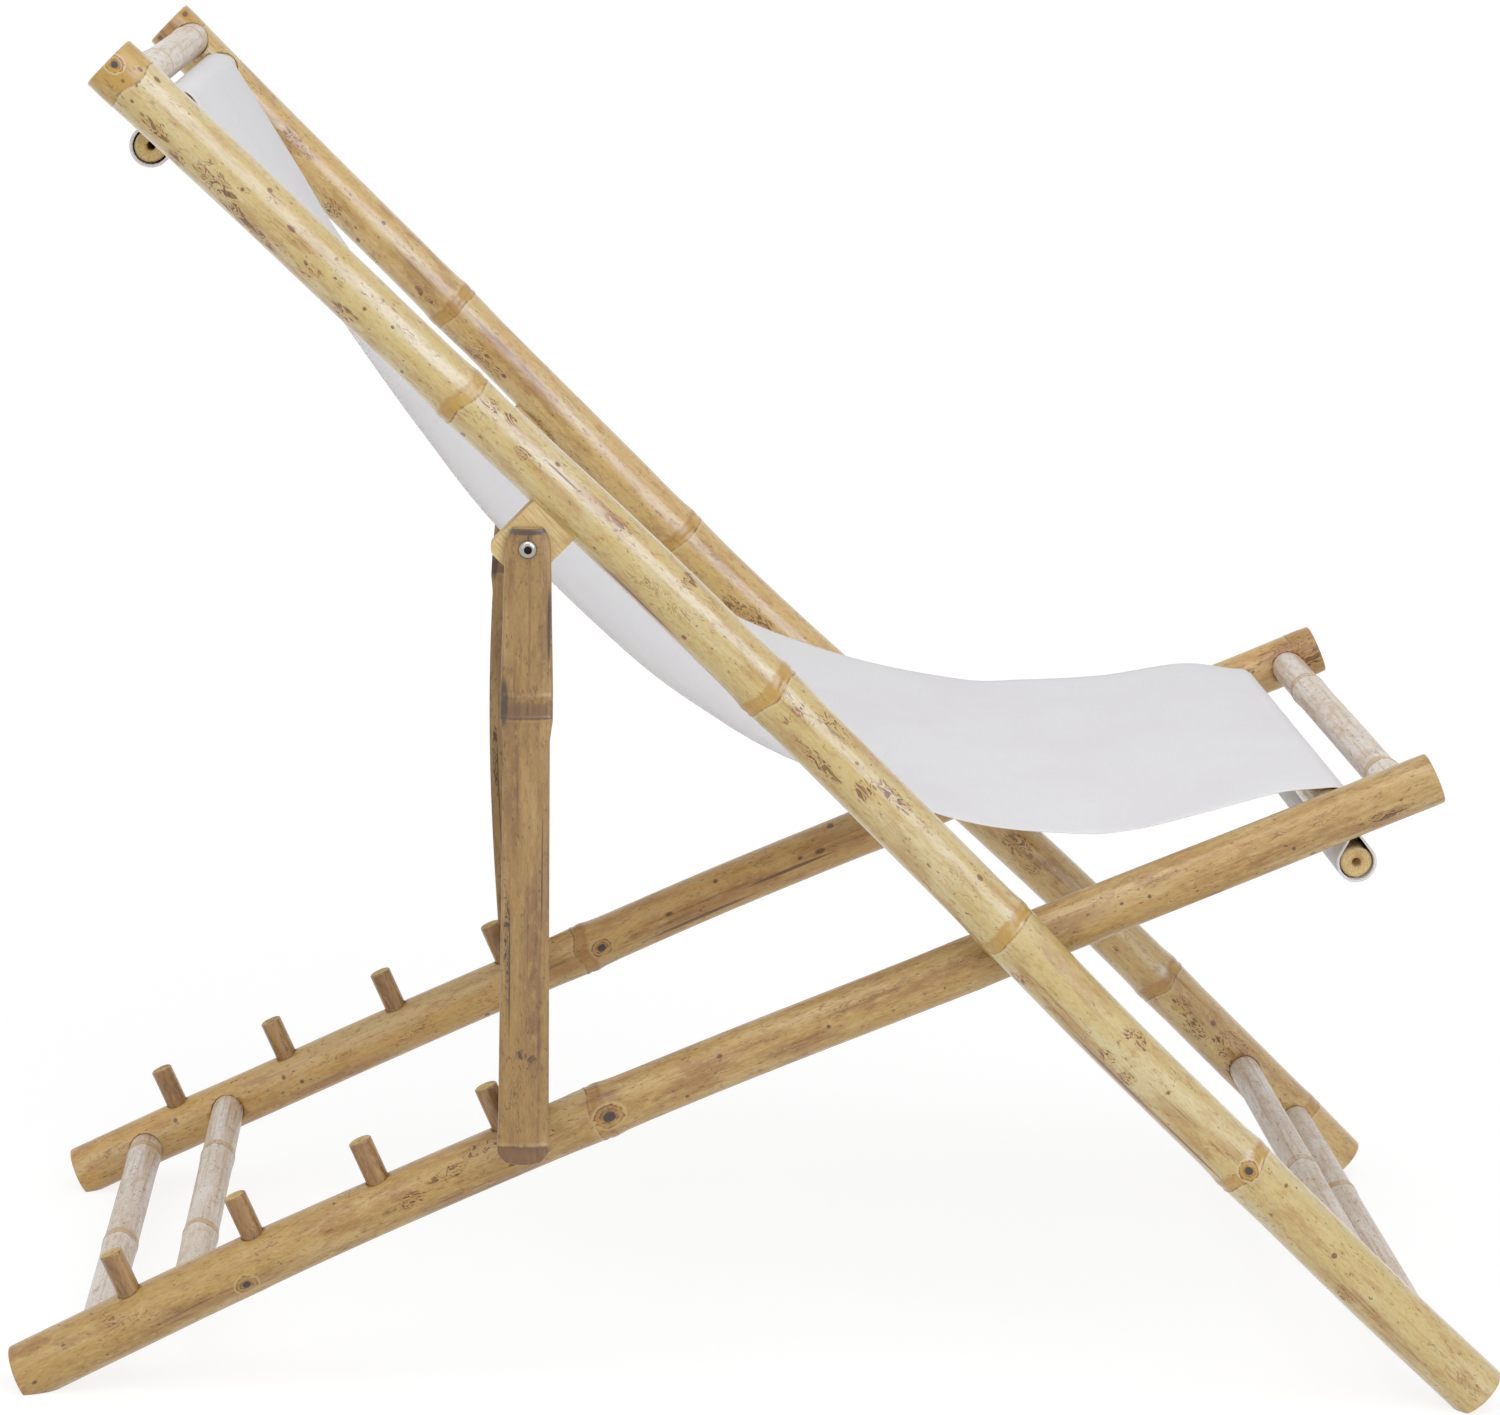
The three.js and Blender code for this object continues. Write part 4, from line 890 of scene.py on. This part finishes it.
# Sling rods
# Short culms with an open bore, a little shorter than the canvas is wide. They lie loose in its hems.
rod_radius = 0.0119
sling_half = 0.215
rod_half = sling_half - 0.0012
world_up = np.array([0.0, 0.0, 1.0])
rods = {
    "head_sling_rod": ("back_frame", crossing - 0.864 * back_along - 0.031 * back_up, (0.38, 0.81)),
    "seat_sling_rod": ("seat_frame", crossing + 0.2517 * seat_along - 0.0499 * seat_up, (0.22, 0.66)),
}
for number, (name, (body, middle, shares)) in enumerate(rods.items()):
    material = bamboo("bamboo_of_" + name, straw, seed=30.0 + number)
    rod_nodes = [(2 * rod_half * share, bud, 0.2) for share, bud in zip(shares, (40.0, 90.0))]
    made = culm("bamboo_" + name, middle - rod_half * across, across, world_up, np.cross(world_up, across),
                2 * rod_half, rod_radius, rod_nodes, [material, rod_grain], swell=0.0012, sides=56,
                hollow=0.0034, recess=0.04, seed=60 + number)
    carry(made, body, "straw_bamboo", name)

# Canvas sling
# One strip of plain-woven off-white canvas. Each end goes down behind its bar and round a rod in a sewn hem.
# The hang at the near and far edges is given by rows of place along the chord and depth below it, as shares.
cloth = 0.0011
head_bar = crossing - 0.868 * back_along
seat_bar = crossing + 0.25 * seat_along + middle_rise(1.071) * seat_up
head_rod = rods["head_sling_rod"][1]
seat_rod = rods["seat_sling_rod"][1]
head_wrap = 0.0155
seat_wrap = 0.0165
wrap_radius = rod_radius + 0.0023
hem_overlap = 0.006
near_hang_shares = np.array([
    [0.08, 0.0376], [0.1757, 0.0834], [0.269, 0.1247], [0.3547, 0.1573], [0.4828, 0.1879], [0.5572, 0.196],
    [0.6348, 0.1943], [0.7665, 0.1691], [0.8485, 0.1327], [0.8874, 0.1059], [0.9268, 0.0666],
    [0.9682, 0.024]])
far_hang_shares = np.array([
    [0.0893, 0.0463], [0.1548, 0.0805], [0.27, 0.1274], [0.38, 0.1561], [0.5, 0.1808], [0.6, 0.1842],
    [0.7057, 0.1642], [0.7994, 0.1308], [0.8448, 0.104], [0.903, 0.0645], [0.9569, 0.0203]])


def arc(centre, radius, start, end, count):
    """Points on a circle in the XZ plane from one angle to another, in degrees from +X."""
    angle = np.radians(np.linspace(start, end, count))
    return centre + radius * np.stack([np.cos(angle), np.sin(angle)], 1)


def smooth_curve(points, count):
    """A Catmull-Rom curve through points, with each span cut into count steps."""
    padded = np.concatenate([2 * points[:1] - points[1:2], points, 2 * points[-1:] - points[-2:-1]])
    t = np.linspace(0, 1, count, endpoint=False)[:, None]
    parts = []
    for a, b, c, d in zip(padded, padded[1:], padded[2:], padded[3:]):
        parts.append(0.5 * (2 * b + (c - a) * t + (2 * a - 5 * b + 4 * c - d) * t ** 2
                            + (3 * b - a - 3 * c + d) * t ** 3))
    return np.concatenate(parts + [points[-1:]])


def resampled(path, count):
    """A path cut into steps of equal length, and its length."""
    step = np.linalg.norm(np.diff(path, axis=0), axis=1)
    place = np.concatenate([[0], np.cumsum(step)])
    even = np.linspace(0, place[-1], count)
    return np.stack([np.interp(even, place, path[:, i]) for i in (0, 1)], 1), place[-1]


def hang_line(start, end, rows):
    """Even points of the hang: rows of place along the chord and depth below it, both as shares of it."""
    chord = end - start
    below = np.array([chord[1], -chord[0]])
    middle = start + rows[:, :1] * chord + rows[:, 1:] * below
    curve = smooth_curve(np.concatenate([[start], middle, [end]]), 16)
    return resampled(curve, 220)[0][1:-1]


def hem(rod, edge, throat_reach):
    """The cloth's way from the last point over a bar down to its rod: the throat of the hem, the loop round
    the rod, and the sewn end beside the throat."""
    centre = rod[[0, 2]]
    away = (edge - centre) / np.linalg.norm(edge - centre)
    beside = 1.15 * cloth * np.array([away[1], -away[0]])
    throat = centre + throat_reach * away
    middle = np.degrees(np.arctan2(away[1], away[0]))
    opening = np.degrees(np.arccos(wrap_radius / throat_reach))
    loop = arc(centre, wrap_radius, middle + opening, middle + 360 - opening, 60)
    return throat, loop[::-1], [throat - beside, throat + hem_overlap * away - beside]


def sling_path(far_share):
    """The cloth's middle line from the head hem's sewn edge to the seat hem's, at a share of the way across
    from the near edge to the far one."""
    over_head = arc(head_bar[[0, 2]], head_wrap, 165, 32, 14)
    tilt = rail_tilts["seat_sling_bar"] * sling_half / seat_half
    over_seat = arc((seat_bar + tilt * (far_share - 0.5) * seat_up)[[0, 2]], seat_wrap, 100, 4, 12)
    near, far = (hang_line(over_head[-1], over_seat[0], rows)
                 for rows in (near_hang_shares, far_hang_shares))
    hang = near + far_share * (far - near)
    head_throat, head_loop, head_end = hem(head_rod, over_head[0], 0.0195)
    seat_throat, seat_loop, seat_end = hem(seat_rod, over_seat[-1], 0.0245)
    return np.concatenate([head_end[::-1], head_loop, [head_throat], over_head, hang, over_seat,
                           [seat_throat], seat_loop, seat_end])


def make_canvas():
    """Plain weave: two sets of ribs from crossed waves on the cloth's own map, with slubs, faint soil and
    painted shade where the weave dips.
    """
    material, tree, shader = new_material("canvas")
    place = tree.put("UVMap", uv_map="cloth")
    parts = tree.put("SeparateXYZ", {0: place}).node.outputs
    thread_pitch = 0.0009
    threads = 2 * np.pi / thread_pitch
    weave = tree.times(tree.sine(parts[0], threads), tree.sine(parts[1], threads))
    slubs = tree.plus(tree.noise(tree.stretched(place, (30.0, 900.0, 1.0)), 1.0, 3.0),
                      tree.noise(tree.stretched(place, (900.0, 30.0, 1.0), (5.0, 2.0, 0.0)), 1.0, 3.0))
    soil = tree.span(tree.noise(place, 9.0, 3.0), 0.35, 0.7)
    colour = tree.blend(soil, linear(231, 230, 232), linear(228, 226, 229))
    colour = tree.blend(tree.times(tree.span(slubs, 0.9, 1.2), 0.2), colour, linear(214, 212, 214))
    # Painted shade: a little darker where the weave's height dips between the ribs.
    colour = tree.blend(tree.times(tree.span(weave, 0.2, -0.8), 0.15), colour, linear(210, 208, 210))
    height = tree.weighed((weave, 0.5), (slubs, 0.5))
    tree.fill(shader, {"Base Color": colour, "Roughness": 0.9, "Specular IOR Level": 0.2,
                       "Sheen Weight": 0.15, "Normal": tree.bump(height, 0.25, 0.0003)})
    return material


def hem_share(place, length):
    """1 where the cloth lies double, round each rod, and 0 between the hems."""
    loop = (2 * np.pi * wrap_radius + 0.004) / length
    inner, outer = loop - hem_overlap / length, loop + 0.004 / length
    return np.interp(place, [0, inner, outer, 1 - outer, 1 - inner, 1], [1, 1, 0, 0, 1, 1])


def make_sling():
    """The cloth: at each of the columns across it the same path with its own sag, thickened both ways and
    closed by round edges, with a faint ripple where it hangs free."""
    rows, columns = 560, 40
    v = np.linspace(-1, 1, columns)
    layers, lengths = zip(*(resampled(sling_path((value + 1) / 2), rows) for value in v))
    length = float(np.mean(lengths))
    grid = np.stack(layers, 1)
    along = np.gradient(grid, axis=0)
    along /= np.linalg.norm(along, axis=2, keepdims=True)
    normal = np.stack([-along[..., 1], along[..., 0]], 2)
    place = np.linspace(0, 1, rows)
    hung = np.clip((place - 0.14) / 0.06, 0, 1) * np.clip((0.86 - place) / 0.06, 0, 1)
    ripple = 0.0007 * np.sin(np.linspace(0, 9, rows))[:, None] * np.cos(2.3 * v)
    grid = grid + normal * (ripple * hung[:, None])[..., None]
    half = cloth / 2 * (1 + hem_share(place, length))[:, None, None]
    edge_turns = np.radians([-54.0, -18.0, 18.0, 54.0])
    rim_out = np.cos(edge_turns) * cloth / 2
    rim_up = np.sin(edge_turns)[None, :, None] * half
    section = np.concatenate([grid + normal * half, grid[:, -1:] - normal[:, -1:] * rim_up,
                              (grid - normal * half)[:, ::-1], grid[:, :1] + normal[:, :1] * rim_up], 1)
    y = sling_half * v
    ys = np.concatenate([y, y[-1] + rim_out, y[::-1], y[0] - rim_out])
    ys = np.broadcast_to(ys, section.shape[:2])
    points = np.stack([section[..., 0], ys, section[..., 1]], 2)
    downs = np.broadcast_to(length * place[:, None], ys.shape)
    made = tube("canvas_sling", points, points[[0, -1]].mean(1), {"cloth": (ys, downs, np.zeros((2, 2)))},
                [0] * (rows + 1), [make_canvas()])
    return made, length


sling, sling_length = make_sling()
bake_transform(sling)
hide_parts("sling")

# Floor
# A wide plain pale floor that catches a soft shadow, and shows white where the picture looks at it.
floor_mesh = bpy.data.meshes.new("floor")
floor_mesh.from_pydata([(-30, -30, 0), (30, -30, 0), (30, 30, 0), (-30, 30, 0)], [], [(0, 1, 2, 3)])
show("floor", floor_mesh)


def picture_rays(tree):
    """1 for the rays that carry a picture: from the camera, from a gloss or through a glass."""
    rays = tree.put("LightPath").node.outputs
    return tree.most(*(rays["Is %s Ray" % kind] for kind in ("Camera", "Glossy", "Transmission")))


floor_material, floor_tree, floor_shader = new_material("floor")
floor_tree.fill(floor_shader, {"Base Color": (0.9, 0.9, 0.9, 1.0), "Roughness": 1.0,
                               "Specular IOR Level": 0.0})
glow = floor_tree.put("Emission", {"Color": (1.0, 1.0, 1.0, 1.0), "Strength": 1.1})
away = floor_tree.put("VectorMath", {0: floor_tree.put("TexCoord", output=3)}, output=1, operation="LENGTH")
seen = floor_tree.times(picture_rays(floor_tree), floor_tree.span(away, 1.0, 3.0, 0.75, 0.9))
output = floor_material.node_tree.nodes["Material Output"].inputs
surface = output["Surface"].links[0].from_socket
floor_tree.fill(output, {"Surface": floor_tree.put("MixShader", {0: seen, 1: surface, 2: glow})})
floor_mesh.materials.append(floor_material)


# Light
# A large softbox over the sitter's side lights the diffuse colour, and a bluish window beside it is seen only
# in the varnish. With them go a lamp over the chair, a fill at its rear, a wide dim sun, and a bright room.
def aim_at(obj, right, up, back, place):
    """Puts a lamp or the camera at a place, with its three axes."""
    pose = np.eye(4)
    pose[:3] = np.stack([right, up, back, place], 1)
    obj.matrix_world = pose.T.tolist()


def softbox(name, width, height, power, place, aim, side):
    """A rectangular area lamp at a place, facing a point, its width as near to a direction as that allows."""
    lamp = bpy.data.lights.new(name, "AREA")
    lamp.shape = "RECTANGLE"
    lamp.size, lamp.size_y, lamp.energy = width, height, power
    back = np.subtract(place, aim)
    back /= np.linalg.norm(back)
    level = np.subtract(side, np.dot(side, back) * back)
    level /= np.linalg.norm(level)
    obj = show(name, lamp)
    aim_at(obj, level, np.cross(back, level), back, place)
    return obj


key = softbox("key", 2.0, 2.4, 30.0, (0.95, -2.95, 1.75), (-0.1, -0.28, 0.6), back_along)
key.visible_glossy = False
window = softbox("window", 2.0, 2.2, 56.0, (1.54, -2.36, 2.03), (-0.18, -0.28, 0.71), back_along)
window.data.color = (0.45, 0.62, 1.0)
window.visible_diffuse = False
softbox("top", 2.6, 1.2, 14.0, (0.3, -1.2, 3.0), (0.0, 0.0, 0.5), (1.0, 0.0, 0.0))
softbox("fill", 1.8, 1.8, 10.0, (-2.4, -3.2, 1.8), (0.0, 0.0, 0.5), (1.0, 0.0, 0.0))
sun_lamp = bpy.data.lights.new("sky", "SUN")
sun_lamp.energy = 0.6
sun_lamp.angle = float(np.radians(50))
sun = show("sky", sun_lamp)
sun.rotation_euler = (float(np.radians(24)), float(np.radians(-14)), 0.0)
world = bpy.data.worlds.new("room")
world.use_nodes = True
bpy.context.scene.world = world
room = Tree(world.node_tree)
strength = room.put("MapRange", {0: picture_rays(room), 3: 0.5, 4: 1.0})
room.fill(world.node_tree.nodes["Background"].inputs, {"Color": (1.0, 1.0, 1.0, 1.0), "Strength": strength})

# Camera
# Placed where the photograph's lines put it: 3.3 m to the sitter's right, 1.17 m high, looking slightly down.
yaw, pitch, roll = 0.057279, 0.206505, -0.020256
focal_pixels, photo_pixels = 4330.11, 1500
camera_data = bpy.data.cameras.new("camera")
camera_data.sensor_width = 36.0
camera_data.lens = camera_data.sensor_width * focal_pixels / photo_pixels
camera = show("camera", camera_data)
forward = np.array([np.sin(yaw) * np.cos(pitch), np.cos(yaw) * np.cos(pitch), -np.sin(pitch)])
level = np.array([np.cos(yaw), -np.sin(yaw), 0.0])
drop = np.cross(forward, level)
right = level * np.cos(roll) + drop * np.sin(roll)
down = -level * np.sin(roll) + drop * np.cos(roll)
aim_at(camera, right, -down, -forward, (-0.19099, -3.33954, 1.17574))
bpy.context.scene.camera = camera
bpy.context.scene.view_settings.view_transform = "Standard"
